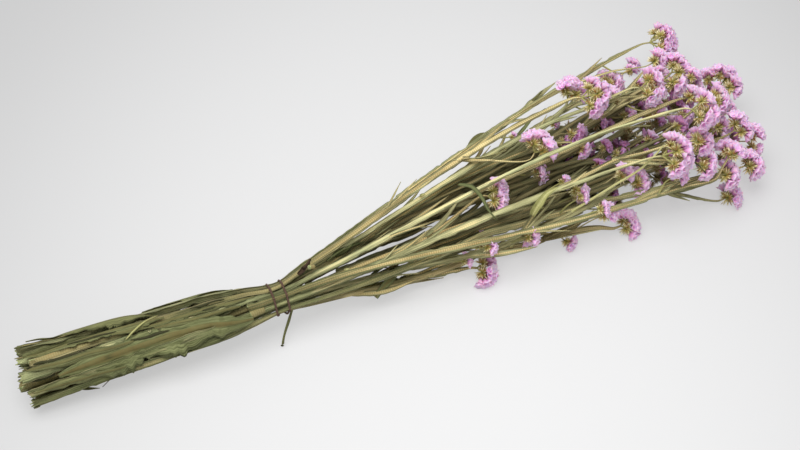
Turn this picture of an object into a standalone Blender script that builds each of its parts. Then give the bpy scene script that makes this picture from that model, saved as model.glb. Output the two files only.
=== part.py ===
"""A tied bunch of dried statice, lying down.

Nineteen winged stems, one of them cut short, are held by one brown elastic that goes round them twice.
Below the tie they form a handle that ends in the cut ends; above it they fan out, fork, and carry papery
flower heads. The long axis of the handle is X, from the cut ends to the flowers, and Z is up from the
surface it lies on.

The layout is worked out in millimetres, and MM turns it into metres where the meshes are made.
"""
import math
import random

import bmesh
import bpy
from mathutils import Matrix, Vector

MM = 0.001
UP_AXIS = Vector((0, 0, 1))

# Driving dimensions, in millimetres.
CUT_X = -302
TIE_X = -110
STATION_STEP = 24
STATIONS = range(CUT_X, 311, STATION_STEP)
HANDLE_MIDDLES = ((3, 20), (0, 30))  # across and up, at the cut ends and at the tie
HANDLE_TWIST = math.radians(24)     # how far the stems turn round each other below the tie
RAGGED = 6                          # how much longer or shorter than the rest a stem is cut
SHORT_STEM = 11                     # this stem was cut off close below the tie
SHORT_X = -136
CLEARANCE = 0.4                     # between two stems that touch
SEAT = 0.3                          # between a stalk's tip and the flower head it carries
APPROACH = 6                        # straight run of a stalk into the head it carries
STALK_RADIUS = 1.1
WING_FLATNESS = 0.72                # thickness of a winged stem over its width
SMOOTHINGS = 3
FINAL_CLEARINGS = 5
HOMING = 0.35                       # share of its way to its own course that a stem makes up at a station
ARRIVAL = 0.35                      # how much of its head's facing a stalk's way takes up
HEAD_CENTRE = 0.36                  # a head's middle above its foot, as a share of its width
HEAD_REACH = 0.42                   # the ball a head needs to itself, as a share of its width
HEAD_FLATNESS = 0.6
HEAD_SIDES = 8
BAND_RADIUS = 0.9
BAND_SPACING = 10                   # between the elastic's two turns where they show
BAND_POINTS = 56                    # along both turns
BAND_SIDES = 6
LEAF_THICKNESS = 0.5                # half of it, at a leaf's midrib
LEAF_POINTS = 9
HANDLE_LEAF_ENDS = (-262, -146)
HANDLE_LEAF_SIDES = (math.radians(138), math.radians(163))   # where it lies round the handle
HANDLE_LEAF_WIDTH = 12
HANDLE_LEAF_SINK = 1.3              # how far it lies in between the stems' wings
HANGING_LEAF_X = -101
HANGING_LEAF_SIDE = math.radians(-125)
HANGING_LEAF_SPREAD = 19            # how far its tip comes out from under the tie
HANGING_LEAF_SWING = 15             # how far its tip swings back towards the cut ends
HANGING_LEAF_WIDTH = 4

# Half width of a stem with its wings pressed round it, at places along the bunch.
STEM_HALF_WIDTHS = [(-300, 4.2), (-270, 4.0), (-160, 3.8), (-135, 3.2), (-110, 2.4), (-85, 2.6),
                    (-40, 2.9), (60, 2.8), (180, 2.1), (300, 1.5)]

# The plane in which the bunch is fanned out: a head's facing is turned in it, from RIGHT towards UP.
FAN_RIGHT = Vector((0.935, -0.355, 0.0))
FAN_UP = Vector((0.272, 0.716, 0.643))

# Heads that crowd each other slide over and under more than aside: mostly this way, square to the fan.
STACKING = Vector((-0.228, -0.601, 0.766))
STACKING_SHARE = 0.7

# Flower heads: where the middle of each lies (along, across, up), which way it faces in the fan's
# plane in degrees, and its width. A height of 0 is a head that rests on the surface.
HEADS = {
    "A": ((282, 138, 42), 10, 34), "B": ((265, 112, 48), 25, 20), "C": ((234, 67, 66), -5, 32),
    "D": ((275, 98, 50), 40, 25), "E": ((267, 86, 42), -20, 20), "F": ((262, 50, 64), 10, 20),
    "G": ((310, 85, 36), 70, 36), "H": ((292, 54, 48), 15, 25), "I": ((254, 20, 76), -10, 32),
    "J": ((295, 23, 46), 35, 26), "K": ((309, 17, 26), 0, 26), "L": ((272, -1, 50), 60, 24),
    "M": ((296, -1, 24), 20, 23), "N": ((268, -12, 31), -5, 22), "O": ((274, -13, 0), 20, 21),
    "P": ((248, -7, 46), -10, 24), "Q": ((250, 8, 60), 5, 24), "R": ((219, -4, 66), 5, 35),
    "S": ((178, 8, 50), 60, 20), "T": ((197, 6, 34), 10, 21), "U": ((159, -13, 30), 20, 20),
    "V": ((181, -12, 0), 20, 24), "W": ((95, -1, 20), 10, 20), "X": ((127, -12, 0), -40, 15),
    "Y": ((58, -3, 26), 35, 20), "Z": ((57, -14, 0), 0, 26), "AA": ((79, 20, 48), 0, 26),
    "AB": ((127, 52, 60), 60, 28), "AC": ((176, 101, 58), 75, 28), "AD": ((183, 70, 72), 0, 34),
    "AE": ((227, 120, 30), 30, 25), "AF": ((141, 6, 40), -30, 19), "AG": ((166, 51, 36), -30, 18),
    "AH": ((263, 151, 0), 40, 17),
}

# Stems: the head at the tip, then the heads on side stalks, each with the place where it forks off.
STEMS = [
    ("A", {"B": 200}), ("D", {"E": 210}), ("G", {"H": 225}), ("AC", {}), ("AD", {"AB": 70}),
    ("AE", {"AH": 195}), ("C", {}), ("F", {}), ("I", {}), ("J", {"K": 240}), ("L", {"M": 225}),
    ("Q", {"P": 190, "AA": 20}), ("R", {}), ("N", {"O": 210}), ("S", {"T": 106, "AF": 85}),
    ("V", {"U": 110, "X": 82}), ("Z", {"Y": 10}), ("W", {}), ("AG", {}),
]

# How far the middle of a stem's way bows out of its straight course, across and up.
BOWS = {11: (2, 13)}

# A head's outline from its foot to its crown, as shares of its width: radius, height.
HEAD_OUTLINE = [(0.045, 0.0), (0.15, 0.1), (0.28, 0.24), (0.42, 0.42), (0.4, 0.56), (0.22, 0.66)]


# ---- Layout ----

def between(table, x):
    """The value at x of a table of (x, value) rows, in straight lines between the rows."""
    if x <= table[0][0]:
        return table[0][1]
    for (x0, v0), (x1, v1) in zip(table, table[1:]):
        if x <= x1:
            return v0 + (v1 - v0) * (x - x0) / (x1 - x0)
    return table[-1][1]


def stem_radius(x):
    return between(STEM_HALF_WIDTHS, x)


def stalk_radius(x):
    return STALK_RADIUS


def fan_direction(angle):
    turn = math.radians(angle)
    return (FAN_RIGHT * math.cos(turn) + FAN_UP * math.sin(turn)).normalized()


class Head:
    """A flower head: its middle, its axes and its size."""

    def __init__(self, name):
        middle, angle, self.width = HEADS[name]
        self.middle = Vector(middle)
        self.facing = fan_direction(angle)
        lean = math.radians(random.Random(name).uniform(-30, 30))
        self.side = Matrix.Rotation(lean, 3, self.facing) @ fan_direction(angle + 90)
        self.side = (self.side - self.facing * self.side.dot(self.facing)).normalized()
        self.flat = self.facing.cross(self.side)
        self.reach = HEAD_REACH * self.width

    def lift(self):
        """Keeps the head's lowest point, and its stalk's, on or above the surface."""
        lean = math.hypot(self.side.z, HEAD_FLATNESS * self.flat.z)
        lowest = max(radius * self.width * lean - (height - HEAD_CENTRE) * self.width * self.facing.z
                     for radius, height in HEAD_OUTLINE)
        stalk = 1.2 * STALK_RADIUS + self.middle.z - self.behind_foot(APPROACH).z
        self.middle.z = max(self.middle.z, lowest, stalk)

    def behind_foot(self, distance):
        return self.middle - self.facing * (HEAD_CENTRE * self.width + distance)


def part_heads(heads):
    """Moves heads apart until each has the ball that it needs to itself."""
    for _ in range(200):
        for k, first in enumerate(heads):
            for second in heads[:k]:
                apart = first.middle - second.middle
                short = first.reach + second.reach + CLEARANCE - apart.length
                if short > 0:
                    over = STACKING * math.copysign(STACKING_SHARE, apart.dot(STACKING))
                    step = (apart.normalized() * (1 - STACKING_SHARE) + over) * (short / 2)
                    first.middle += step
                    second.middle -= step
        for head in heads:
            head.lift()


def settle(places, radii, rounds, centre=None, pull=0.0, blocks=()):
    """Shifts circles in one cross-section of the bunch until none overlap or sink into the surface.

    With a centre, they are also drawn towards it, as stems under an elastic are. A block is a circle
    that doesn't give way, with the one circle that may enter it."""
    for _ in range(rounds):
        for i, place in enumerate(places):
            if centre is not None:
                place += (centre - place) * pull
            for j in range(i):
                apart = place - places[j]
                short = radii[i] + radii[j] + CLEARANCE - apart.length
                if short > 0:
                    step = apart.normalized() * (short / 2)
                    place += step
                    places[j] -= step
            for owner, middle, radius in blocks:
                apart = place - middle
                short = radii[i] + radius + CLEARANCE - apart.length
                if short > 0 and i != owner:
                    place += apart.normalized() * short
            place.y = max(place.y, radii[i])


def slots_at_tie(tips):
    """Where each stem passes through the tie: on the side to which it then fans out."""
    centre = Vector(HANDLE_MIDDLES[1])
    slopes = [(Vector((tip.y, tip.z)) - centre + Vector(BOWS.get(number, (0, 0))) * 4) / (tip.x - TIE_X)
              for number, tip in enumerate(tips, 1)]
    middle = sum(slopes, Vector((0, 0))) / len(slopes)
    places = [centre + (slope - middle) * 60 for slope in slopes]
    radii = [stem_radius(TIE_X)] * len(tips)
    settle(places, radii, 400, centre, 0.02)
    settle(places, radii, 80)
    return places


def handle_sections(slots):
    """The stems' places in each cross-section from the cut ends up to the tie."""
    steps = (TIE_X - CUT_X) // STATION_STEP
    turn = Matrix.Rotation(HANDLE_TWIST / steps, 2)
    drop = (Vector(HANDLE_MIDDLES[0]) - Vector(HANDLE_MIDDLES[1])) / steps
    centre = Vector(HANDLE_MIDDLES[1])
    sections = {TIE_X: slots}
    places = slots
    for k in range(1, steps + 1):
        x = TIE_X - k * STATION_STEP
        places = [centre + drop + turn @ (place - centre) * 1.04 for place in places]
        centre = centre + drop
        radii = [stem_radius(x)] * len(places)
        if x < SHORT_X:
            radii[SHORT_STEM - 1] = STALK_RADIUS
        settle(places, radii, 120, centre, 0.01)
        settle(places, radii, 80)
        sections[x] = places
    return sections


def course(start, leave, end, arrive, x):
    """The point at x of a smooth path; leave and arrive are its directions, with an X part of 1."""
    span = end.x - start.x
    t = (x - start.x) / span
    at = start * (2 * t ** 3 - 3 * t ** 2 + 1) + end * (3 * t ** 2 - 2 * t ** 3)
    at = at + leave * (span * (t ** 3 - 2 * t ** 2 + t)) + arrive * (span * (t ** 3 - t ** 2))
    return Vector((at.y, at.z))


class Strand:
    """A stem or side stalk above the tie: where it starts, the head it carries, and its way there."""

    def __init__(self, head, start, leave, radius, bow=(0, 0)):
        self.head = head
        self.radius = radius
        self.tip = head.behind_foot(SEAT)
        self.end = head.behind_foot(APPROACH)
        span = self.end.x - start.x
        chord = (self.end - start) / span
        bulge = Vector((0, *bow)) * (4 / span)
        steep = max(head.facing.x, 0.75)
        facing = Vector((1, head.facing.y / steep, head.facing.z / steep))
        arrive = facing * ARRIVAL + chord * (1 - ARRIVAL) - bulge
        if leave is None:
            leave = chord + bulge
        self.first = int(start.x)
        self.stations = [x for x in STATIONS if start.x < x < self.end.x - STATION_STEP * 0.35]
        self.goals = {x: course(start, leave, self.end, arrive, x) for x in self.stations}
        self.goals[self.first] = Vector((start.y, start.z))
        self.places = {self.first: Vector((start.y, start.z))}

    def advance(self, x):
        """A first guess at the place at x, from the place one station before."""
        before = x - STATION_STEP
        guess = self.places[before] + self.goals[x] - self.goals[before]
        self.places[x] = guess + (self.goals[x] - guess) * HOMING

    def direction(self, x):
        """Which way it runs just before x, with an X part of 1."""
        step = (self.places[x] - self.places[x - STATION_STEP]) / STATION_STEP
        return Vector((1, step.x, step.y))

    def point(self, x):
        place = self.places[x]
        return Vector((x, place.x, place.y))

    def route(self):
        return [self.point(x) for x in sorted(self.places)] + [self.end, self.tip]


def clear_section(strands, heads, x, rounds):
    """Settles the strands that cross the section at x, clear of each other and of the heads."""
    here = [strand for strand in strands if x in strand.places and x > strand.first]
    blocks = []
    for head in heads:
        off = max(0.0, abs(x - head.middle.x) - STATION_STEP * 0.4)
        if off < head.reach:
            owners = [k for k, strand in enumerate(here) if strand.head is head]
            middle = Vector((head.middle.y, head.middle.z))
            blocks.append((owners[0] if owners else None, middle, math.sqrt(head.reach ** 2 - off ** 2)))
    settle([strand.places[x] for strand in here], [strand.radius(x) for strand in here], rounds,
           blocks=blocks)


def clear_step(strands, x):
    """Parts strands that would cut through each other on their way from the section before x to x."""
    before = x - STATION_STEP
    here = [strand for strand in strands if x in strand.places and x > strand.first]
    for k, one in enumerate(here):
        for two in here[:k]:
            start = one.places[before] - two.places[before]
            change = one.places[x] - two.places[x] - start
            share = max(0.0, min(1.0, -start.dot(change) / max(change.length_squared, 0.001)))
            apart = start + change * share
            short = one.radius(x) + two.radius(x) + CLEARANCE - apart.length
            if short > 0 and start.length > STALK_RADIUS:
                step = apart.normalized() * (short / 2)
                one.places[x] += step
                two.places[x] -= step
                one.places[before] += step
                two.places[before] -= step


def smooth(stem, share):
    """Takes the kinks out of a stem's ways and its stalks', which still start on the stem."""
    for strand in stem:
        strand.places[strand.first] = stem[0].places[strand.first]
        for x in strand.stations:
            before = strand.places[x - STATION_STEP]
            after = strand.places.get(x + STATION_STEP)
            if after is not None:
                strand.places[x] = strand.places[x].lerp((before + after) / 2, share)


def fan_out(heads, slots):
    """Every stem's strands above the tie: a list for each stem, with the stem itself first."""
    stems = [[Strand(heads[tip], Vector((TIE_X, *slot)), None, stem_radius, BOWS.get(number, (0, 0)))]
             for number, ((tip, _), slot) in enumerate(zip(STEMS, slots), 1)]
    for x in STATIONS:
        if x <= TIE_X:
            continue
        for (_, forks), stem in zip(STEMS, stems):
            for name, fork in forks.items():
                if x - STATION_STEP < fork <= x:
                    start = stem[0].point(x - STATION_STEP)
                    leave = stem[0].direction(x - STATION_STEP)
                    stem.append(Strand(heads[name], start, leave, stalk_radius))
        strands = [strand for stem in stems for strand in stem]
        for strand in strands:
            if x in strand.stations:
                strand.advance(x)
        clear_section(strands, heads.values(), x, 80)
    for k in range(SMOOTHINGS + FINAL_CLEARINGS):
        for stem in stems:
            smooth(stem, 0.5 if k < SMOOTHINGS else 0.0)
        for x in STATIONS:
            clear_section(strands, heads.values(), x, 30)
            if x > TIE_X + STATION_STEP:
                clear_step(strands, x)
    return stems


def lay_out():
    """The heads by name, the handle's sections, and every stem's strands."""
    heads = {name: Head(name) for name in HEADS}
    part_heads(list(heads.values()))
    slots = slots_at_tie([heads[tip].behind_foot(APPROACH) for tip, _ in STEMS])
    return heads, handle_sections(slots), fan_out(heads, slots)


# ---- Making meshes ----

def finish(name, colour, roughness):
    """A material with one plain finish."""
    material = bpy.data.materials.new(name)
    material.use_nodes = True
    shader = material.node_tree.nodes["Principled BSDF"]
    shader.inputs["Base Color"].default_value = (*colour, 1.0)
    shader.inputs["Roughness"].default_value = roughness
    shader.inputs["Metallic"].default_value = 0.0
    return material


def add_object(name, shape, material, collection):
    """Turns a bmesh into an object of that name; the bmesh is freed."""
    bmesh.ops.recalc_face_normals(shape, faces=shape.faces)
    mesh = bpy.data.meshes.new(name)
    shape.to_mesh(mesh)
    shape.free()
    mesh.materials.append(material)
    made = bpy.data.objects.new(name, mesh)
    collection.objects.link(made)
    return made


def loft(path, outlines, closed=False):
    """A skin over outlines set square to a path; an outline is a list of (across, up) pairs."""
    shape = bmesh.new()
    rings = []
    last = len(path) - 1
    for k, (point, outline) in enumerate(zip(path, outlines)):
        before = path[k - 1] if closed else path[max(k - 1, 0)]
        after = path[(k + 1) % len(path)] if closed else path[min(k + 1, last)]
        along = (after - before).normalized()
        across = UP_AXIS.cross(along).normalized() if abs(along.z) < 0.97 else Vector((0, 1, 0))
        up = along.cross(across).normalized()
        rings.append([shape.verts.new((point + across * a + up * b) * MM) for a, b in outline])
    if closed:
        rings.append(rings[0])
    else:
        shape.faces.new(reversed(rings[0]))
        shape.faces.new(rings[-1])
    for lower, upper in zip(rings, rings[1:]):
        for k in range(len(lower)):
            shape.faces.new((lower[k - 1], lower[k], upper[k], upper[k - 1]))
    return shape


def oval(half_width, half_thickness, turn, sides=6):
    """An oval outline, turned about the path."""
    turned = Matrix.Rotation(turn, 2)
    steps = [k * math.tau / sides for k in range(sides)]
    return [turned @ Vector((half_width * math.cos(a), half_thickness * math.sin(a))) for a in steps]


def stem_outlines(path, draw):
    """Winged sections along a stem: round where the elastic holds it, and flatter away from there."""
    start = draw.uniform(0, math.pi)
    rate = draw.uniform(-0.006, 0.006)
    outlines = []
    for point in path:
        free = min(1.0, abs(point.x - TIE_X) / 60)
        half_width = stem_radius(point.x)
        flat = 1 - (1 - WING_FLATNESS) * free
        outlines.append(oval(half_width, half_width * flat, start + rate * point.x))
    return outlines


def make_stem(number, way, stalks, material, collection, cutters):
    """A stem along its way from its cut end to its tip, with its side stalks joined on."""
    name = f"stem_{number:02d}"
    draw = random.Random(name)
    cut = way[0] + Vector((draw.uniform(-RAGGED, RAGGED), 0, 0))
    path = [cut] + way[1:]
    stem = add_object(name, loft(path, stem_outlines(path, draw)), material, collection)
    for k, stalk in enumerate(stalks, 1):
        path = stalk.route()
        outlines = [oval(STALK_RADIUS, STALK_RADIUS, 0)] * len(path)
        side = add_object(f"{name}_side_{k}", loft(path, outlines), material, cutters)
        side.hide_render = True
        side.display_type = "WIRE"
        join = stem.modifiers.new(f"side_{k}", "BOOLEAN")
        join.operation = "UNION"
        join.solver = "EXACT"
        join.object = side
    return stem


def make_head(name, head, material, collection):
    """A flower head: a turned bud shape, flattened as the spikelets all fan to one side."""
    shape = bmesh.new()
    profile = [shape.verts.new((radius, 0, height - HEAD_CENTRE)) for radius, height in HEAD_OUTLINE]
    edges = [shape.edges.new(pair) for pair in zip(profile, profile[1:])]
    bmesh.ops.spin(shape, geom=profile + edges, axis=(0, 0, 1), cent=(0, 0, 0), angle=math.tau,
                   steps=HEAD_SIDES, use_merge=True)
    bmesh.ops.holes_fill(shape, edges=shape.edges, sides=HEAD_SIDES)
    axes = Matrix((head.side, head.flat * HEAD_FLATNESS, head.facing)).transposed() * head.width
    place = Matrix.Translation(head.middle * MM) @ (axes * MM).to_4x4()
    bmesh.ops.transform(shape, matrix=place, verts=shape.verts)
    return add_object(f"flower_head_{name}", shape, material, collection)


def section_place(way, x):
    """Where a stem's way crosses the section at x."""
    k = next(k for k, point in enumerate(way) if point.x > x)
    point = way[k - 1].lerp(way[k], (x - way[k - 1].x) / (way[k].x - way[k - 1].x))
    return Vector((point.y, point.z))


def hull_point(ways, x, angle, extra):
    """The point that lies extra outside the stems' common outline at x, in the direction of angle."""
    outward = Vector((math.cos(angle), math.sin(angle)))
    places = [section_place(way, x) for way in ways if way[0].x < x]
    furthest = max(places, key=lambda place: place.dot(outward))
    point = furthest + outward * (stem_radius(x) + extra)
    return Vector((x, point.x, point.y))


def make_band(ways, material, collection):
    """The elastic: one closed loop that goes round twice and crosses itself underneath."""
    path = []
    for k in range(BAND_POINTS):
        turn = k * 2 * math.tau / BAND_POINTS
        along = max(-1.0, min(1.0, 1.8 * math.sin(turn / 2))) * BAND_SPACING / 2
        near_crossing = max(0.0, min(1.0, (1.1 - abs(turn - math.tau)) / 0.6))
        out = SEAT + BAND_RADIUS + (2 * BAND_RADIUS + SEAT) * near_crossing
        path.append(hull_point(ways, TIE_X + along, turn - math.pi / 2, out))
    outlines = [oval(BAND_RADIUS, BAND_RADIUS, 0, BAND_SIDES)] * BAND_POINTS
    return add_object("tie_band", loft(path, outlines, closed=True), material, collection)


def handle_middle(x):
    """The middle of the handle at x, across and up."""
    cut, tie = Vector(HANDLE_MIDDLES[0]), Vector(HANDLE_MIDDLES[1])
    return cut.lerp(tie, (x - CUT_X) / (TIE_X - CUT_X))


def make_handle_leaf(ways, material, collection):
    """A broad dry leaf that lies flat along the outside of the handle."""
    path = []
    outlines = []
    for k in range(LEAF_POINTS):
        share = k / (LEAF_POINTS - 1)
        x = HANDLE_LEAF_ENDS[0] + share * (HANDLE_LEAF_ENDS[1] - HANDLE_LEAF_ENDS[0])
        angle = HANDLE_LEAF_SIDES[0] + share * (HANDLE_LEAF_SIDES[1] - HANDLE_LEAF_SIDES[0])
        outward = Vector((0, math.cos(angle), math.sin(angle)))
        middle = Vector((x, *handle_middle(x)))
        touching = hull_point(ways, x, angle, SEAT + LEAF_THICKNESS - HANDLE_LEAF_SINK)
        path.append(middle + outward * (touching - middle).dot(outward))
        half_width = HANDLE_LEAF_WIDTH / 2 * (0.25 + 0.75 * math.sin(math.pi * (0.06 + 0.84 * share)))
        outlines.append(oval(half_width, LEAF_THICKNESS, angle + math.pi / 2))
    return add_object("handle_leaf", loft(path, outlines), material, collection)


def make_hanging_leaf(ways, material, collection):
    """A narrow leaf caught by the elastic, which droops from under the tie to the surface."""
    top = hull_point(ways, HANGING_LEAF_X, HANGING_LEAF_SIDE, SEAT + LEAF_THICKNESS)
    path = []
    outlines = []
    for k in range(LEAF_POINTS):
        share = k / (LEAF_POINTS - 1)
        drop = (top.z - LEAF_THICKNESS) * share ** 1.3
        spread = HANGING_LEAF_SPREAD * math.sin(math.pi / 2 * share)
        swing = HANGING_LEAF_SWING * math.sin(math.pi / 2 * share)
        path.append(top - Vector((swing, spread, drop)))
        outlines.append(oval(LEAF_THICKNESS, HANGING_LEAF_WIDTH / 2 * (1 - 0.6 * share ** 2), 0))
    return add_object("hanging_leaf", loft(path, outlines), material, collection)


def stand_at_origin(*groups):
    """Moves everything so that the base of the bunch's box is centred on the origin."""
    corners = [vertex.co for made in groups[0] for vertex in made.data.vertices]
    low = Vector([min(corner[axis] for corner in corners) for axis in range(3)])
    high = Vector([max(corner[axis] for corner in corners) for axis in range(3)])
    base = Vector(((low.x + high.x) / 2, (low.y + high.y) / 2, low.z))
    for group in groups:
        for made in group:
            made.data.transform(Matrix.Translation(-base))


def main():
    for old in list(bpy.data.objects):
        bpy.data.objects.remove(old)
    bunch = bpy.data.collections.new("dried_statice_bunch")
    cutters = bpy.data.collections.new("cutters")
    for collection in (bunch, cutters):
        bpy.context.scene.collection.children.link(collection)
    green = finish("dried stem", (0.22, 0.24, 0.11), 0.7)
    pink = finish("papery flower", (0.62, 0.3, 0.6), 0.8)
    brown = finish("brown elastic", (0.1, 0.06, 0.045), 0.6)
    grey_green = finish("dry leaf", (0.2, 0.25, 0.12), 0.75)

    heads, sections, stems = lay_out()
    ways = []
    for k, strands in enumerate(stems):
        way = [Vector((x, *sections[x][k])) for x in sorted(sections)] + strands[0].route()[1:]
        if k + 1 == SHORT_STEM:
            start = Vector((SHORT_X, *section_place(way, SHORT_X)))
            way = [start] + [point for point in way if point.x > SHORT_X]
        ways.append(way)
        make_stem(k + 1, way, strands[1:], green, bunch, cutters)
    for name, head in heads.items():
        make_head(name, head, pink, bunch)
    make_band(ways, brown, bunch)
    make_handle_leaf(ways, grey_green, bunch)
    make_hanging_leaf(ways, grey_green, bunch)
    stand_at_origin(bunch.objects, cutters.objects)


main()
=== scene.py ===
# %% [markdown]
# # A bunch of dried statice, lying down
#
# Statice is a sea lavender. Its stems have thin wings down both sides, they fork into sprays, and each
# spray carries rows of papery pink cups that keep their colour when they dry. A brown elastic holds
# nineteen of these stems.
#
# This notebook dresses a measured model of the bunch. The model, called the frame, says where every stem,
# flower head and leaf is, and how big it is. Here each of them gets its real shape and finish.

# %% Loading the frame
import math
import random

import bmesh
import bpy
from mathutils import Matrix, Vector, noise


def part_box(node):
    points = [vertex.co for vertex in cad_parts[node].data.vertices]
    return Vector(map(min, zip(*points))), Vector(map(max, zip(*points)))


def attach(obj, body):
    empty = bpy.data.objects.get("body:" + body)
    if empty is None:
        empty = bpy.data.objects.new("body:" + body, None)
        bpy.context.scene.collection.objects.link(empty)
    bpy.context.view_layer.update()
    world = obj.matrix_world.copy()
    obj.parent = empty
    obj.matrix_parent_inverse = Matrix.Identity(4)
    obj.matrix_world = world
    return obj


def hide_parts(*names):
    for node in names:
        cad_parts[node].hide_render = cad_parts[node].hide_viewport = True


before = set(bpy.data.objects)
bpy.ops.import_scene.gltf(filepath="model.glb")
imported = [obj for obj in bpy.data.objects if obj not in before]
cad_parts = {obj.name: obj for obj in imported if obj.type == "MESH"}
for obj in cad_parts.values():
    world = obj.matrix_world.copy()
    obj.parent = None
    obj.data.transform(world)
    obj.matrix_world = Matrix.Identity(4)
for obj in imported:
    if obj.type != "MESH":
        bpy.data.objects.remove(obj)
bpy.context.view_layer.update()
print("nodes in the frame:", len(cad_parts))

# %% [markdown]
# ## The plan of the bunch
#
# Plants are easiest to lay out in millimetres, so the plan is in millimetres, and MM turns it into
# Blender's metres at the very end. X runs along the handle towards the flowers, and Z is up.
#
# The plan is a short list of facts: where the elastic sits, how thick a stem is along its length, and
# where each flower head lies. Everything else follows from these by rules, in the same steps as the
# measured model took, so the dressed stems run exactly where the plain ones do.

# %% Driving dimensions
MM = 0.001
UP_AXIS = Vector((0, 0, 1))
CUT_X = -302                        # where the stems were cut
TIE_X = -110                        # where the elastic sits
STATION_STEP = 24                   # the plan looks at the bunch in sections this far apart
FAR_X = 310                         # no stem reaches further than this
STATIONS = range(CUT_X, FAR_X + 1, STATION_STEP)
HANDLE_MIDDLES = ((3, 20), (0, 30))  # across and up, at the cut ends and at the tie
HANDLE_TWIST = math.radians(24)     # how far the stems turn round each other below the tie
RAGGED = 6                          # how much longer or shorter than the rest a stem is cut
SHORT_STEM = 11                     # this stem was cut off close below the tie
SHORT_X = -136
CLEARANCE = 0.4                     # between two stems that touch
SEAT = 0.3                          # between a stalk's tip and the flower head it carries
APPROACH = 6                        # straight run of a stalk into the head it carries
STALK_RADIUS = 1.1
SMOOTHINGS = 3                      # rounds in which the stems' ways are smoothed and cleared again
FINAL_CLEARINGS = 5                 # rounds in which they are only cleared
HOMING = 0.35                       # share of its way to its own course that a stem makes up at a station
ARRIVAL = 0.35                      # how much of its head's facing a stalk's way takes up
STEEPEST = 0.75                     # the least X part with which a stalk arrives at its head
LAST_GAP = 0.35 * STATION_STEP      # at least, between a stalk's last station and its head
HEAD_CENTRE = 0.36                  # a head's middle above its foot, as a share of its width
HEAD_REACH = 0.42                   # the ball a head needs to itself, as a share of its width
HEAD_FLATNESS = 0.6                 # a plain head's thickness, as a share of its width
HEAD_SIDES = 8
HEAD_ROUNDS = 200                   # in which crowded heads move apart
LOOSE_ROUNDS = 80                   # in which stems move apart in a section, with nothing to draw them in
FINAL_ROUNDS = 30
TIE_ROUNDS, TIE_PULL = 400, 0.02    # in which the elastic draws them in, and by what share a round
HANDLE_ROUNDS, HANDLE_PULL = 120, 0.01
HANDLE_SPREAD = 1.04                # from one section of the handle to the next
TIE_SPREAD = 60                     # how strongly a stem's slope moves its place under the elastic

# Half width of a stem with its wings pressed round it, at places along the bunch.
STEM_HALF_WIDTHS = [(-300, 4.2), (-270, 4.0), (-160, 3.8), (-135, 3.2), (-110, 2.4), (-85, 2.6),
                    (-40, 2.9), (60, 2.8), (180, 2.1), (300, 1.5)]

# The plane in which the bunch is fanned out: a head's facing is turned in it, from RIGHT towards UP.
FAN_RIGHT = Vector((0.935, -0.355, 0.0))
FAN_UP = Vector((0.272, 0.716, 0.643))

# Heads that crowd each other slide over and under more than aside: mostly this way, square to the fan.
STACKING = Vector((-0.228, -0.601, 0.766))
STACKING_SHARE = 0.7

print("from the cut ends to the farthest flowers:", FAR_X - CUT_X, "mm, in", len(STATIONS), "sections")

# %% [markdown]
# ### Flower heads and stems
#
# Each head has a letter. Its row gives the place of its middle, the way it faces and its width. Each stem
# lists the head at its tip and the heads on its side stalks, with the place where the stalk forks off.

# %% The heads and the stems
# Flower heads: where the middle of each lies (along, across, up), which way it faces in the fan's
# plane in degrees, and its width. A height of 0 stands for a head that rests on the surface.
HEADS = {
    "A": ((282, 138, 42), 10, 34), "B": ((265, 112, 48), 25, 20), "C": ((234, 67, 66), -5, 32),
    "D": ((275, 98, 50), 40, 25), "E": ((267, 86, 42), -20, 20), "F": ((262, 50, 64), 10, 20),
    "G": ((310, 85, 36), 70, 36), "H": ((292, 54, 48), 15, 25), "I": ((254, 20, 76), -10, 32),
    "J": ((295, 23, 46), 35, 26), "K": ((309, 17, 26), 0, 26), "L": ((272, -1, 50), 60, 24),
    "M": ((296, -1, 24), 20, 23), "N": ((268, -12, 31), -5, 22), "O": ((274, -13, 0), 20, 21),
    "P": ((248, -7, 46), -10, 24), "Q": ((250, 8, 60), 5, 24), "R": ((219, -4, 66), 5, 35),
    "S": ((178, 8, 50), 60, 20), "T": ((197, 6, 34), 10, 21), "U": ((159, -13, 30), 20, 20),
    "V": ((181, -12, 0), 20, 24), "W": ((95, -1, 20), 10, 20), "X": ((127, -12, 0), -40, 15),
    "Y": ((58, -3, 26), 35, 20), "Z": ((57, -14, 0), 0, 26), "AA": ((79, 20, 48), 0, 26),
    "AB": ((127, 52, 60), 60, 28), "AC": ((176, 101, 58), 75, 28), "AD": ((183, 70, 72), 0, 34),
    "AE": ((227, 120, 30), 30, 25), "AF": ((141, 6, 40), -30, 19), "AG": ((166, 51, 36), -30, 18),
    "AH": ((263, 151, 0), 40, 17),
}

# Stems: the head at the tip, then the heads on side stalks, each with the place where it forks off.
STEMS = [
    ("A", {"B": 200}), ("D", {"E": 210}), ("G", {"H": 225}), ("AC", {}), ("AD", {"AB": 70}),
    ("AE", {"AH": 195}), ("C", {}), ("F", {}), ("I", {}), ("J", {"K": 240}), ("L", {"M": 225}),
    ("Q", {"P": 190, "AA": 20}), ("R", {}), ("N", {"O": 210}), ("S", {"T": 106, "AF": 85}),
    ("V", {"U": 110, "X": 82}), ("Z", {"Y": 10}), ("W", {}), ("AG", {}),
]

# How far the middle of a stem's way bows out of its straight course, across and up.
BOWS = {11: (2, 13)}

# A head's outline from its foot to its crown, as shares of its width: radius, height.
HEAD_OUTLINE = [(0.045, 0.0), (0.15, 0.1), (0.28, 0.24), (0.42, 0.42), (0.4, 0.56), (0.22, 0.66)]
print("heads:", len(HEADS), "stems:", len(STEMS))

# %% [markdown]
# ### Reading a dimension along the bunch
#
# A stem gets thinner from its cut end to its tip. A few rows of (place, width) say how, and straight lines
# between the rows give the rest.

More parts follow.
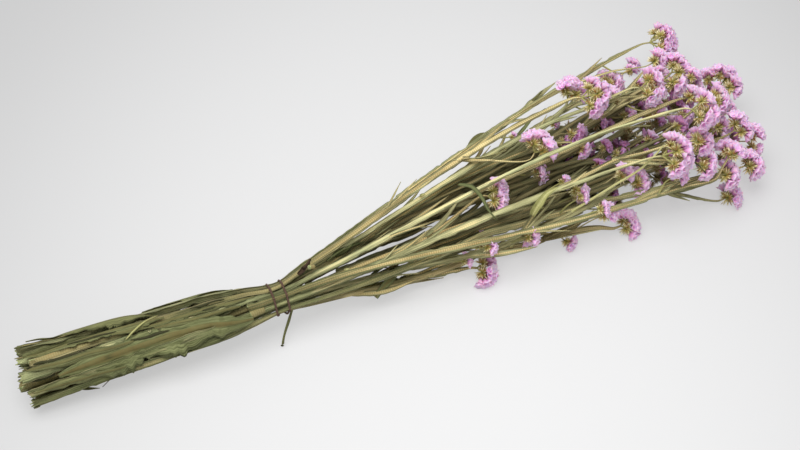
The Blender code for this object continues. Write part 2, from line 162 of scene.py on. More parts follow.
# %% Widths and directions
def between(table, x):
    """The value at x of a table of (x, value) rows, in straight lines between the rows."""
    if x <= table[0][0]:
        return table[0][1]
    for (x0, v0), (x1, v1) in zip(table, table[1:]):
        if x <= x1:
            return v0 + (v1 - v0) * (x - x0) / (x1 - x0)
    return table[-1][1]


def stem_radius(x):
    """Half width of a stem with its wings."""
    return between(STEM_HALF_WIDTHS, x)


def stalk_radius(x):
    """Half width of a side stalk, the same all along."""
    return STALK_RADIUS


def fan_direction(angle):
    """The direction in the fan's plane at an angle in degrees from FAN_RIGHT towards FAN_UP."""
    turn = math.radians(angle)
    return (FAN_RIGHT * math.cos(turn) + FAN_UP * math.sin(turn)).normalized()


def spread_side(facing, angle, lean):
    """The way a head spreads, square to its facing and leaning out of the fan's plane."""
    side = Matrix.Rotation(lean, 3, facing) @ fan_direction(angle + 90)
    return (side - facing * side.dot(facing)).normalized()


print("stem half width at the cut ends, the tie and the tips:",
      [round(stem_radius(x), 2) for x in (CUT_X, TIE_X, 300)])

# %% [markdown]
# ### A head and the room it takes
#
# A head is a flattened fan of flowers, so it needs three axes: the way it faces, the way it spreads and its
# flat side. Heads in a pile push each other aside, so they are moved apart like soft balls until each has
# room, and none sinks into the surface below.

# %% Heads that make room for each other
class Head:
    """A flower head: its middle, its axes and its size."""

    def __init__(self, name):
        middle, angle, self.width = HEADS[name]
        self.middle = Vector(middle)
        self.facing = fan_direction(angle)
        self.side = spread_side(self.facing, angle, math.radians(random.Random(name).uniform(-30, 30)))
        self.flat = self.facing.cross(self.side)
        self.reach = HEAD_REACH * self.width

    def lift(self):
        """Keeps the head's lowest point, and its stalk's, on or above the surface."""
        lean = math.hypot(self.side.z, HEAD_FLATNESS * self.flat.z)
        lowest = max(radius * self.width * lean - (height - HEAD_CENTRE) * self.width * self.facing.z
                     for radius, height in HEAD_OUTLINE)
        stalk = 1.2 * STALK_RADIUS + self.middle.z - self.behind_foot(APPROACH).z
        self.middle.z = max(self.middle.z, lowest, stalk)

    def behind_foot(self, distance):
        """The point at a distance behind the foot of the head, in line with it."""
        return self.middle - self.facing * (HEAD_CENTRE * self.width + distance)


def part_heads(heads):
    """Moves heads apart until each has the ball that it needs to itself."""
    for _ in range(HEAD_ROUNDS):
        for k, first in enumerate(heads):
            for second in heads[:k]:
                apart = first.middle - second.middle
                short = first.reach + second.reach + CLEARANCE - apart.length
                if short > 0:
                    over = STACKING * math.copysign(STACKING_SHARE, apart.dot(STACKING))
                    step = (apart.normalized() * (1 - STACKING_SHARE) + over) * (short / 2)
                    first.middle += step
                    second.middle -= step
        for head in heads:
            head.lift()


print("flower head A faces", [round(part, 2) for part in Head("A").facing])

# %% [markdown]
# ### Stems that give way to each other
#
# Seen end on, a bundle of stems is a heap of circles. Wherever two overlap, each moves back by half the
# overlap, and after a few dozen rounds the heap is at rest. With a pull towards the middle this is what an
# elastic does, so the same function packs the tie and the handle.

# %% Packing circles
def settle(places, radii, rounds, centre=None, pull=0.0, blocks=()):
    """Shifts circles in one cross-section of the bunch until none overlap or sink into the surface.

    With a centre, they are also drawn towards it, as stems under an elastic are. A block is a circle
    that doesn't give way, with the one circle that may enter it."""
    for _ in range(rounds):
        for i, place in enumerate(places):
            if centre is not None:
                place += (centre - place) * pull
            for j in range(i):
                apart = place - places[j]
                short = radii[i] + radii[j] + CLEARANCE - apart.length
                if short > 0:
                    step = apart.normalized() * (short / 2)
                    place += step
                    places[j] -= step
            for owner, middle, radius in blocks:
                apart = place - middle
                short = radii[i] + radius + CLEARANCE - apart.length
                if short > 0 and i != owner:
                    place += apart.normalized() * short
            place.y = max(place.y, radii[i])


def slots_at_tie(tips):
    """Where each stem passes through the tie: on the side to which it then fans out."""
    centre = Vector(HANDLE_MIDDLES[1])
    slopes = [(Vector((tip.y, tip.z)) - centre + Vector(BOWS.get(number, (0, 0))) * 4) / (tip.x - TIE_X)
              for number, tip in enumerate(tips, 1)]
    middle = sum(slopes, Vector((0, 0))) / len(slopes)
    places = [centre + (slope - middle) * TIE_SPREAD for slope in slopes]
    radii = [stem_radius(TIE_X)] * len(tips)
    settle(places, radii, TIE_ROUNDS, centre, TIE_PULL)
    settle(places, radii, LOOSE_ROUNDS)
    return places


def handle_sections(slots):
    """The stems' places in each cross-section from the cut ends up to the tie."""
    steps = (TIE_X - CUT_X) // STATION_STEP
    turn = Matrix.Rotation(HANDLE_TWIST / steps, 2)
    drop = (Vector(HANDLE_MIDDLES[0]) - Vector(HANDLE_MIDDLES[1])) / steps
    centre = Vector(HANDLE_MIDDLES[1])
    sections = {TIE_X: slots}
    places = slots
    for k in range(1, steps + 1):
        x = TIE_X - k * STATION_STEP
        places = [centre + drop + turn @ (place - centre) * HANDLE_SPREAD for place in places]
        centre = centre + drop
        radii = [stem_radius(x)] * len(places)
        if x < SHORT_X:
            radii[SHORT_STEM - 1] = STALK_RADIUS
        settle(places, radii, HANDLE_ROUNDS, centre, HANDLE_PULL)
        settle(places, radii, LOOSE_ROUNDS)
        sections[x] = places
    return sections


trial = [Vector((0, 5)), Vector((1, 5))]
settle(trial, [2, 2], LOOSE_ROUNDS)
print("two circles that overlapped come to rest", round((trial[1] - trial[0]).length, 1), "mm apart")

# %% [markdown]
# ### The way of each stem above the tie
#
# A stem leaves the tie and bends smoothly into the head that it carries. At every station along the way it
# is settled against its neighbours and the heads in its path, and then the kinks are smoothed out again.
# Side stalks start on their stem and follow the same rules.

# %% A stem's course
def curved(start, leave, end, arrive, t, span=1.0):
    """The point at share t of a smooth curve that leaves start and arrives at end in given directions."""
    at = start * (2 * t ** 3 - 3 * t ** 2 + 1) + end * (3 * t ** 2 - 2 * t ** 3)
    return at + leave * (span * (t ** 3 - 2 * t ** 2 + t)) + arrive * (span * (t ** 3 - t ** 2))


def course(start, leave, end, arrive, x):
    """Where such a curve crosses the section at x; its directions have an X part of 1."""
    span = end.x - start.x
    at = curved(start, leave, end, arrive, (x - start.x) / span, span)
    return Vector((at.y, at.z))


class Strand:
    """A stem or side stalk above the tie: where it starts, the head it carries, and its way there."""

    def __init__(self, head, start, leave, radius, bow=(0, 0)):
        self.head = head
        self.radius = radius
        self.tip = head.behind_foot(SEAT)
        self.end = head.behind_foot(APPROACH)
        span = self.end.x - start.x
        chord = (self.end - start) / span
        bulge = Vector((0, *bow)) * (4 / span)
        steep = max(head.facing.x, STEEPEST)
        facing = Vector((1, head.facing.y / steep, head.facing.z / steep))
        arrive = facing * ARRIVAL + chord * (1 - ARRIVAL) - bulge
        if leave is None:
            leave = chord + bulge
        self.first = int(start.x)
        self.stations = [x for x in STATIONS if start.x < x < self.end.x - LAST_GAP]
        self.goals = {x: course(start, leave, self.end, arrive, x) for x in self.stations}
        self.goals[self.first] = Vector((start.y, start.z))
        self.places = {self.first: Vector((start.y, start.z))}

    def advance(self, x):
        """A first guess at the place at x, from the place one station before."""
        before = x - STATION_STEP
        guess = self.places[before] + self.goals[x] - self.goals[before]
        self.places[x] = guess + (self.goals[x] - guess) * HOMING

    def direction(self, x):
        """Which way it runs just before x, with an X part of 1."""
        step = (self.places[x] - self.places[x - STATION_STEP]) / STATION_STEP
        return Vector((1, step.x, step.y))

    def point(self, x):
        return Vector((x, *self.places[x]))

    def route(self):
        """All the points of the way, from the first section to the tip."""
        return [self.point(x) for x in sorted(self.places)] + [self.end, self.tip]


trial = course(Vector((0, 0, 0)), Vector((1, 0, 0)), Vector((10, 0, 4)), Vector((1, 0, 0)), 5)
print("halfway to an end that lies 4 mm higher, a course is", round(trial.y, 1), "mm up")

# %% Clearing and smoothing
def clear_section(strands, heads, x, rounds):
    """Settles the strands that cross the section at x, clear of each other and of the heads."""
    here = [strand for strand in strands if x in strand.places and x > strand.first]
    blocks = []
    for head in heads:
        off = max(0.0, abs(x - head.middle.x) - STATION_STEP * 0.4)
        if off < head.reach:
            owners = [k for k, strand in enumerate(here) if strand.head is head]
            middle = Vector((head.middle.y, head.middle.z))
            blocks.append((owners[0] if owners else None, middle, math.sqrt(head.reach ** 2 - off ** 2)))
    settle([strand.places[x] for strand in here], [strand.radius(x) for strand in here], rounds,
           blocks=blocks)


def clear_step(strands, x):
    """Parts strands that would cut through each other on their way from the section before x to x."""
    before = x - STATION_STEP
    here = [strand for strand in strands if x in strand.places and x > strand.first]
    for k, one in enumerate(here):
        for two in here[:k]:
            start = one.places[before] - two.places[before]
            change = one.places[x] - two.places[x] - start
            share = max(0.0, min(1.0, -start.dot(change) / max(change.length_squared, 0.001)))
            apart = start + change * share
            short = one.radius(x) + two.radius(x) + CLEARANCE - apart.length
            if short > 0 and start.length > STALK_RADIUS:
                step = apart.normalized() * (short / 2)
                one.places[x] += step
                two.places[x] -= step
                one.places[before] += step
                two.places[before] -= step


def smooth(stem, share):
    """Takes the kinks out of a stem's ways and its stalks', which still start on the stem."""
    for strand in stem:
        strand.places[strand.first] = stem[0].places[strand.first]
        for x in strand.stations:
            before = strand.places[x - STATION_STEP]
            after = strand.places.get(x + STATION_STEP)
            if after is not None:
                strand.places[x] = strand.places[x].lerp((before + after) / 2, share)


print("two middles under the elastic are", round(2 * stem_radius(TIE_X) + CLEARANCE, 1), "mm apart")

# %% Fanning out
def fan_out(heads, slots):
    """Every stem's strands above the tie: a list for each stem, with the stem itself first."""
    stems = [[Strand(heads[tip], Vector((TIE_X, *slot)), None, stem_radius, BOWS.get(number, (0, 0)))]
             for number, ((tip, _), slot) in enumerate(zip(STEMS, slots), 1)]
    for x in STATIONS:
        if x <= TIE_X:
            continue
        for (_, forks), stem in zip(STEMS, stems):
            for name, fork in forks.items():
                if x - STATION_STEP < fork <= x:
                    start = stem[0].point(x - STATION_STEP)
                    leave = stem[0].direction(x - STATION_STEP)
                    stem.append(Strand(heads[name], start, leave, stalk_radius))
        strands = [strand for stem in stems for strand in stem]
        for strand in strands:
            if x in strand.stations:
                strand.advance(x)
        clear_section(strands, heads.values(), x, LOOSE_ROUNDS)
    for k in range(SMOOTHINGS + FINAL_CLEARINGS):
        for stem in stems:
            smooth(stem, 0.5 if k < SMOOTHINGS else 0.0)
        for x in STATIONS:
            clear_section(strands, heads.values(), x, FINAL_ROUNDS)
            if x > TIE_X + STATION_STEP:
                clear_step(strands, x)
    return stems


def lay_out():
    """The heads by name, the handle's sections, and every stem's strands."""
    heads = {name: Head(name) for name in HEADS}
    part_heads(list(heads.values()))
    slots = slots_at_tie([heads[tip].behind_foot(APPROACH) for tip, _ in STEMS])
    return heads, handle_sections(slots), fan_out(heads, slots)


heads, sections, stems = lay_out()
print("strands above the tie:", sum(len(stem) for stem in stems))

# %% [markdown]
# ### From the plan to the frame
#
# The frame stands with the middle of its base on the origin, and the plan doesn't. One flower head, whose
# corners both of them know, tells how far apart they are.

# %% Where the plan lies in the frame
def head_corners(head):
    """The corners of the plain bud shape that stands for a head in the frame."""
    for radius, height in HEAD_OUTLINE:
        for k in range(HEAD_SIDES):
            turn = k * math.tau / HEAD_SIDES
            across = head.side * math.cos(turn) + head.flat * (HEAD_FLATNESS * math.sin(turn))
            yield head.middle + (across * radius + head.facing * (height - HEAD_CENTRE)) * head.width


planned_low = Vector([min(corner[axis] for corner in head_corners(heads["A"])) for axis in range(3)])
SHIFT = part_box("flower_head_A")[0] / MM - planned_low
print("the plan moves by", [round(value, 2) for value in SHIFT], "mm")

# %% [markdown]
# ## Camera, floor and light
#
# The bunch lies on a plain pale sheet and is seen from above and from the side, through a long lens so that
# its far end doesn't shrink much. The light is a bright, even room with one large soft lamp behind the
# bunch, which leaves a faint shadow in front of it.

# %% Camera
CAMERA_TURN = math.radians(-20.8)
CAMERA_RISE = math.radians(50)
CAMERA_LENS = 70
CAMERA_DISTANCE = 1.215
CAMERA_AIM = Vector((1, 34.5, 30))


def put(name, data):
    """Adds an object with its data to the scene."""
    made = bpy.data.objects.new(name, data)
    bpy.context.scene.collection.objects.link(made)
    return made


backward = Vector((math.sin(CAMERA_TURN) * math.cos(CAMERA_RISE),
                   -math.cos(CAMERA_TURN) * math.cos(CAMERA_RISE),
                   math.sin(CAMERA_RISE)))
camera = put("camera", bpy.data.cameras.new("camera"))
camera.data.lens = CAMERA_LENS
camera.data.sensor_width = 36
camera.location = (CAMERA_AIM + SHIFT) * MM + backward * CAMERA_DISTANCE
camera.rotation_euler = backward.to_track_quat("Z", "Y").to_euler()
bpy.context.scene.camera = camera
bpy.context.scene.view_settings.view_transform = "Standard"
print("camera at", [round(value, 3) for value in camera.location])

# %% [markdown]
# ## Mixing finishes with plain arithmetic
#
# A material is a tree of nodes. Written node by node, even a simple sum takes many lines. The small class
# below wraps a socket so that Python's own operators add the Math nodes, and one method makes every other
# kind of node. Most finishes are then a first colour with a list of coats, each with the share that shows.

# %% A class for sockets
class Wire:
    """An output socket that arithmetic can be done on."""

    def __init__(self, paint, socket):
        self.paint = paint
        self.socket = socket

    def maths(self, operation, *values, clamp=False):
        settings = {"operation": operation, "use_clamp": clamp}
        return self.paint.node("Math", settings, dict(enumerate(values)))

    def __add__(self, other):
        return self.maths("ADD", self, other)

    __radd__ = __add__

    def __sub__(self, other):
        return self.maths("SUBTRACT", self, other)

    def __rsub__(self, other):
        return self.maths("SUBTRACT", other, self)

    def __mul__(self, other):
        return self.maths("MULTIPLY", self, other)

    __rmul__ = __mul__

    def wave(self):
        """From 0 to 1 and back, once each time the value grows by one."""
        return self.maths("SINE", self * math.tau) * 0.5 + 0.5

    def between(self, low, high):
        """0 below low, 1 above high, and a smooth step in between."""
        return self.paint.node("MapRange", {"interpolation_type": "SMOOTHSTEP"}, {0: self, 1: low, 2: high})

    def clamped(self):
        """The value, kept between 0 and 1."""
        return self.maths("ADD", self, 0.0, clamp=True)

    def above(self, level, slope):
        """0 up to a level, and from there up to 1 at a slope."""
        return ((self - level) * slope).clamped()

    def below(self, level, slope):
        """0 down to a level, and from there down to 1 at a slope."""
        return ((level - self) * slope).clamped()

    def another(self, times):
        """Another value from 0 to 1 for each value of this one."""
        return self.maths("FRACT", self * times)


def tone(code):
    """A colour as a painter writes it, such as #c9b766, as the numbers Blender mixes with."""
    parts = [int(code[k:k + 2], 16) / 255 for k in (1, 3, 5)]
    return (*[part / 12.92 if part <= 0.04045 else ((part + 0.055) / 1.055) ** 2.4 for part in parts], 1.0)


print("the colour #c9b766 is", [round(value, 3) for value in tone("#c9b766")])

# %% [markdown]
# The second class holds one material while it is put together. It adds nodes, reads the marks and the place
# of a point, makes soft patches, lays coats of colour over each other, and raises or lights the surface.

# %% A class for materials
class Paint:
    """A material under construction, with its Principled shader."""

    def __init__(self, name, roughness, **constants):
        self.material = bpy.data.materials.new(name)
        self.material.use_nodes = True
        self.tree = self.material.node_tree
        self.shader = self.tree.nodes["Principled BSDF"]
        self.set("Roughness", roughness)
        for socket, value in constants.items():
            self.set(socket.replace("_", " "), value)

    def node(self, kind, settings=None, inputs=None, output=0):
        """Adds a shader node, makes its settings, and fills or links its sockets."""
        made = self.tree.nodes.new("ShaderNode" + kind)
        for name, value in (settings or {}).items():
            setattr(made, name, value)
        for name, value in (inputs or {}).items():
            self.feed(made.inputs[name], value)
        return Wire(self, made.outputs[output])

    def feed(self, socket, value):
        """Links a wire to a socket, or fills the socket with a value or with a colour's code."""
        if isinstance(value, Wire):
            self.tree.links.new(value.socket, socket)
        else:
            socket.default_value = tone(value) if isinstance(value, str) else value

    def set(self, name, value):
        self.feed(self.shader.inputs[name], value)

    def marks(self, *names):
        """The values that were written on the points of the mesh."""
        return [self.node("Attribute", {"attribute_name": name}, output=2) for name in names]

    def vector(self, x, y, z):
        return self.node("CombineXYZ", {}, {0: x, 1: y, 2: z})

    def place(self):
        return self.node("TexCoord", output=3)

    def axis(self, number):
        """One coordinate of the place: 0 along the bunch, 1 across, 2 up."""
        return self.node("SeparateXYZ", {}, {0: self.place()}, output=number)

    def mottle(self, scale, detail=3.0, where=None):
        """Soft random patches, from 0 to 1."""
        return self.node("TexNoise", {}, {"Vector": where or self.place(), "Scale": scale, "Detail": detail})

    def mix(self, share, first, second):
        """From the first colour to the second as share goes from 0 to 1."""
        return self.node("Mix", {"data_type": "RGBA"}, {0: share, 6: first, 7: second}, output=2)

    def coats(self, colour, *layers):
        """A colour with others laid over it, each with the share of it that shows."""
        for share, over in layers:
            colour = self.mix(share, colour, over)
        return colour

    def shade(self, colour, factor):
        """A colour made darker or lighter by a number."""
        grey = self.vector(factor, factor, factor)
        return self.node("Mix", {"data_type": "RGBA", "blend_type": "MULTIPLY"},
                         {0: 1.0, 6: colour, 7: grey}, output=2)

    def bump(self, height, strength, distance):
        """Makes the surface look raised by a height."""
        self.set("Normal", self.node("Bump", {}, {"Height": height, "Strength": strength,
                                                  "Distance": distance}))

    def glow(self, colour, share):
        """Makes a share of the surface look lit from within, without any light on other things.

        Only rays that end in a picture see it: straight from the camera, by reflection or through glass."""
        seen = (self.node("LightPath", output=0) + self.node("LightPath", output=3)
                + self.node("LightPath", output=6)).clamped()
        lit = self.node("Emission", {}, {"Color": colour})
        solid = Wire(self, self.shader.outputs[0])
        blend = self.node("MixShader", {}, {0: seen * share, 1: solid, 2: lit})
        self.feed(self.tree.nodes["Material Output"].inputs["Surface"], blend)


print("what a material's class can do:", [name for name in vars(Paint) if name[0] != "_"])

# %% [markdown]
# ## The surface it lies on
#
# The floor is one big sheet of paper. Its colour carries painted light: lightest just in front of the bunch,
# it falls off gently towards the far corners, as the light on a paper sweep gets weaker. Part of it glows for
# the camera alone, like a sheet that is lit from below: painted light that keeps the shadows pale while the
# light on the bunch is unchanged.

# %% Floor and light
LAMP_SIDE = 1.5
LAMP_PLACE = Vector((-0.3, 0.0, 1.7))
LAMP_POWER = 24.6
ROOM_LIGHT = 0.56
FLOOR_HALF = 4
PAPER_WHITE = (1.0, 1.0, 1.004, 1.0)
PAPER_MIDDLE = 0.812                # the painted light on the paper under the bunch, which changes
PAPER_SLOPES = (0.032, -0.28)       # with each metre to the right and to the back, and
PAPER_CURVES = (-1.15, 0.38, -0.56)  # with each square metre: right, right by back, and back
PAPER_DARKEST = 0.56
PAPER_BLEND = 0.2                   # how softly the light middle goes over into the rest of the paper
PAPER_GLOW = 0.6                    # share of the paper's brightness that the camera sees in shadow too


def mesh_from(name, shape, materials=()):
    """A mesh from a finished bmesh, which is then let go."""
    mesh = bpy.data.meshes.new(name)
    shape.to_mesh(mesh)
    shape.free()
    for material in materials:
        mesh.materials.append(material)
    return mesh


floor_paint = Paint("pale floor", 0.9, Specular_IOR_Level=0.1)
right, back = floor_paint.axis(0), floor_paint.axis(1)
# Painted light: the paper's colour is lightest under the bunch and darker towards the far corners.
painted_light_falloff = (PAPER_MIDDLE + right * (PAPER_SLOPES[0] + right * PAPER_CURVES[0] + back * PAPER_CURVES[1])
           + back * (PAPER_SLOPES[1] + back * PAPER_CURVES[2]))
painted_light_falloff = painted_light_falloff.maths("SMOOTH_MAX", painted_light_falloff, PAPER_DARKEST, PAPER_BLEND)
paper = floor_paint.shade(PAPER_WHITE, painted_light_falloff)
floor_paint.set("Base Color", paper)
# Painted light: part of the paper glows for the camera, so the shadows on it stay pale.
floor_paint.glow(paper, PAPER_GLOW)

floor_shape = bmesh.new()
bmesh.ops.create_grid(floor_shape, x_segments=1, y_segments=1, size=FLOOR_HALF)
floor = put("floor", mesh_from("floor", floor_shape, [floor_paint.material]))

lamp = put("soft lamp", bpy.data.lights.new("soft lamp", "AREA"))
lamp.data.size = LAMP_SIDE
lamp.data.energy = LAMP_POWER
lamp.location = LAMP_PLACE
lamp.rotation_euler = LAMP_PLACE.to_track_quat("Z", "Y").to_euler()

room = bpy.data.worlds.new("room")
room.use_nodes = True
room.node_tree.nodes["Background"].inputs["Color"].default_value = (1, 1, 1, 1)
room.node_tree.nodes["Background"].inputs["Strength"].default_value = ROOM_LIGHT
bpy.context.scene.world = room
print("floor and lights are in place")

# %% [markdown]
# ## Finishes
#
# Every mesh below writes a few values on its points, which the finishes read:
#
# - along: how far a point is from its stem's lower end, in metres
# - core: 1 on a stem's round core or a leaf's midrib, and 0 on the wings or blade
# - edge: 0 in the middle and 1 at the very edge of a wing, or from 0 at the foot to 1 at the rim of a flower
# - tint: one random value for each stem, leaf or flower, so that no two look the same

# %% [markdown]
# ### Dry winged stems
#
# A dry stem is grey green to olive. Its core is ribbed and turns tan or golden, with fine cross marks where
# the pith has shrunk, and the wings' edges bleach to straw or go brown. The streaks run along the stem, so
# the noise is read in a space that is stretched that way.

# %% Stem finish
RIB_PITCH = 0.0018


def stem_finish(name, age_and_shade=0.0):
    """The skin of a winged stem; the last number, from 0 to 1, makes it browner, as old stems are, and paints
    it darker, as shade on stems deep inside the bunch.
    """
    paint = Paint(name, 0.72, Specular_IOR_Level=0.3)
    along, core, edge, tint = paint.marks("along", "core", "edge", "tint")
    east = paint.axis(0)
    streaks = paint.mottle(1.0, 4.0, paint.vector(along * 20.0, edge * 8.0 + core * 3.0, tint * 40.0))
    fine = paint.mottle(1.0, 3.0, paint.vector(along * 55.0, edge * 26.0 + core * 9.0, tint * 70.0))
    patches = paint.mottle(55.0)
    above_tie = east.between(-0.14, 0.02)
    ripe = above_tie * 0.6 + tint * 0.6 - 0.2 + (patches - 0.5) * 0.7
    brown = (tint.another(5.7) + (patches - 0.5) * 0.8).between(0.5, 0.95)
    near_edge = edge.between(0.5, 0.75) * (1.0 - edge.between(0.85, 0.95))
    # Painted shade in the furrows on both sides of the core, where a wing leaves it.
    core_furrow_shade = core.between(0.05, 0.35) * (1.0 - core.between(0.4, 0.7))
    wing = paint.coats("#6f754a",
                       (ripe.clamped(), "#b5b386"),
                       ((patches * 1.2 + tint * 0.5 - 0.75).between(0.0, 0.5) * 0.6, "#8f976c"),
                       (brown * 0.6, "#937b55"),
                       (streaks.above(0.52, 7.0) * 0.7, "#cdc08e"),
                       # Dark streaks: the stem's own, and heavier below the tie as painted shade of the
                       # furrows between the packed stems.
                       (streaks.below(0.47, 8.0) * (0.85 - above_tie * 0.25), "#434829"),
                       (fine.below(0.44, 9.0) * (0.75 - above_tie * 0.4), "#3b3f22"),
                       (near_edge * (0.6 - above_tie * 0.15), "#50552f"),
                       (edge.above(0.86, 7.0) * streaks, "#d6c897"),
                       (core_furrow_shade * 0.5, "#484c2a"))

    ribs = (along * (1 / RIB_PITCH) + (fine - 0.5) * 1.2).wave()
    near_heads = east.between(0.0, 0.16)
    gold = paint.coats("#967a40",
                       (streaks.between(0.3, 0.7), "#ceb97e"),
                       ((1.0 - above_tie) * 0.85, "#6e6a42"),
                       (near_heads * (0.25 + tint * 0.5), "#a3a274"),
                       ((1.0 - ribs) * (0.1 + above_tie * 0.12), "#86703c"),
                       (ribs * (0.08 + above_tie * 0.2), "#e9deb2"),
                       (fine.above(0.58, 6.0) * 0.6, "#7f5f36"))

    tan_share = (tint.another(7.3) * 1.2 + above_tie * 0.2 + (streaks - 0.5) * 2.2).between(0.3, 0.9)
    ragged_core = (core + (fine - 0.5) * 0.9 + (streaks - 0.5) * 0.7).between(0.45, 0.7)
    # For stems deep inside the bunch: a browner coat and, below, a darker multiplier, which is painted shade.
    colour = paint.coats(wing, (ragged_core * (tan_share * 0.85 + 0.1), gold), (0.5 * age_and_shade, "#5e5a38"))
    own_shade = tint.another(3.1) * 0.26 + streaks * 0.5
    bright = 0.37 + above_tie * 0.28 + fine + own_shade
    paint.set("Base Color", paint.shade(colour, bright * (1 - 0.3 * age_and_shade)))
    lines = (edge * 9.0 + core * 2.0).wave() * 0.4 + streaks * 0.8
    paint.bump(lines + ribs * core * 0.5 + fine * 0.5, 0.65, 0.0008)
    return paint.material


# The second finish is the same skin, browner and painted darker: painted shade for the slender and blind
# stems inside the bunch.
stem_material = stem_finish("dry winged stem")
shaded_old_stem_material = stem_finish("shaded old slender stem", age_and_shade=1.0)
print("made", stem_material.name, "and", shaded_old_stem_material.name)

# %% [markdown]
# ### The cut ends
#
# Where the stems were cut, the pith shows. It is a pale green, with a spongy grain.

# %% Cut pith
def pith_finish(name):
    """Green pith with pale cells and darker patches."""
    paint = Paint(name, 0.85)
    sponge = paint.mottle(900.0, 2.0)
    patches = paint.mottle(260.0, 2.0)
    paint.set("Base Color", paint.coats("#8d9a5e", (sponge.between(0.35, 0.65), "#cfd39a"),
                                        ((patches - 0.5).between(0.0, 0.25), "#5d6a3a")))
    paint.bump(sponge, 0.6, 0.0004)
    return paint.material


pith_material = pith_finish("cut pith")
print("made", pith_material.name)

# %% [markdown]
# ### Papery flowers
#
# What stays pink on dried statice isn't the petals but the calyx, a pleated paper cup. Its colour runs from
# deep pink in the throat to pale lilac at the rim: the cup's own pink, with painted shade in the throat and a
# painted highlight on the rim. Its folds show as fine radial lines. Some cups have faded.

# %% Calyx finish
def calyx_finish(name, shade_depth=0.0):
    """Papery pink; the last number, from 0 to 1, paints it a deeper purple: painted shade for flowers deep in
    the bunch.
    """
    paint = Paint(name, 0.62, Specular_IOR_Level=0.25, Subsurface_Weight=0.25, Subsurface_Scale=0.002)
    fold, edge, tint = paint.marks("core", "edge", "tint")
    grain = paint.mottle(700.0)
    clouds = paint.mottle(120.0, 2.0)
    ripe = (tint * 0.3 + 0.3 + (clouds - 0.5)).clamped()
    # From the throat to the rim: the cup's own pink, with painted shade deep in the throat and a painted
    # highlight on the rim.
    colour = paint.coats("#d47fbe",
                         (edge.between(0.1, 0.42), paint.mix(ripe, "#f4c2e8", "#eba1d8")),
                         (edge.between(0.5, 1.0), paint.mix(ripe, "#f5dbee", "#f1c3e4")),
                         ((1.0 - fold) * edge.between(0.2, 0.6) * 0.18, "#c27cc1"),
                         (edge.between(0.22, 0.08), "#a8994f"),
                         ((tint.another(13.0) - 0.88).between(0.0, 0.1) * 0.6, "#e3cfdc"),
                         # A deeper purple: painted shade for flowers low in the bunch.
                         (0.55 * shade_depth, "#ab5a9f"))
    paint.set("Base Color", paint.shade(colour, 0.98 + grain * 0.14))
    paint.bump(grain, 0.2, 0.0003)
    return paint.material


# The second finish is the shaded copy, for flowers low in the bunch.
calyx_material = calyx_finish("papery calyx")
shaded_calyx_material = calyx_finish("shaded papery calyx", shade_depth=1.0)
print("made", calyx_material.name, "and", shaded_calyx_material.name)

# %% [markdown]
# ### Bracts
#
# Each cup sits in stiff little scales, the bracts. They are olive at the foot and straw at the tip, and
# many carry a rusty mark.

# %% Bract finish
def bract_finish(name, age_and_shade=0.0):
    """Straw scales; the last number, from 0 to 1, makes them the dull brown of an old head and paints them
    darker, as shade deep in the bunch.
    """
    paint = Paint(name, 0.6, Specular_IOR_Level=0.35)
    core, edge, tint = paint.marks("core", "edge", "tint")
    grain = paint.mottle(650.0, 2.0)
    rust = (tint.another(9.0) - 0.6).between(0.0, 0.3) * edge.between(0.15, 0.5) * (1.0 - core).clamped()
    colour = paint.coats("#77733a",
                         (edge.between(0.1, 0.5), "#bdb265"),
                         (edge.between(0.45, 0.85), "#f6edc0"),
                         ((tint - 0.4).between(0.0, 0.6) * 0.7, "#85854a"),
                         (rust * (grain + 0.2).clamped(), "#a1642f"),
                         (core.between(0.5, 1.0) * 0.7, "#8a8a58"),
                         # Browner and darker for scales deep in the bunch: the brown of old scales, and
                         # painted shade.
                         (0.55 * age_and_shade, "#5e4c2c"))
    paint.set("Base Color", paint.shade(colour, (0.95 + grain * 0.4) * (1 - 0.25 * age_and_shade)))
    paint.bump(grain, 0.4, 0.0003)
    return paint.material


bract_material = bract_finish("straw bract")
shaded_old_bract_material = bract_finish("shaded old brown bract", age_and_shade=1.0)
print("made", bract_material.name, "and", shaded_old_bract_material.name)

# %% [markdown]
# ### Leaves
#
# The few leaves that are left are grey green and brittle, with a midrib that has dried to orange brown.

# %% Leaf finish
def leaf_finish(name, blade, light, deep, midrib):
    """A leaf's skin, from the tones of its blade, of its light and deep veins and of its midrib."""
    paint = Paint(name, 0.75, Specular_IOR_Level=0.25)
    along, core, edge, tint = paint.marks("along", "core", "edge", "tint")
    veins = paint.mottle(1.0, 4.0, paint.vector(along * 60.0, edge * 14.0, tint * 30.0))
    patches = paint.mottle(140.0)
    ribs = (along * 500.0 + veins).wave()
    rib = paint.mix(ribs * 0.2 + (veins - 0.3).clamped(), midrib, blade)
    colour = paint.coats(blade,
                         (veins.between(0.35, 0.68), light),
                         ((patches - 0.56).between(0.0, 0.15) * 0.5, deep),
                         (veins.below(0.46, 9.0) * 0.8, deep),
                         ((core + (veins - 0.5) * 2.0).between(0.35, 0.8) * 0.85, rib))
    paint.set("Base Color", paint.shade(colour, 0.65 + patches * 0.5 + veins * 0.55))
    paint.bump(veins + (edge * 12.0).wave() * 0.4, 0.5, 0.0005)
    return paint.material


grey_leaf_material = leaf_finish("grey green leaf", "#62673f", "#7f8358", "#494c2c", "#6f5f36")
sheath_material = leaf_finish("dark leaf sheath", "#5d5f3b", "#7f8054", "#3b3e23", "#6a6239")
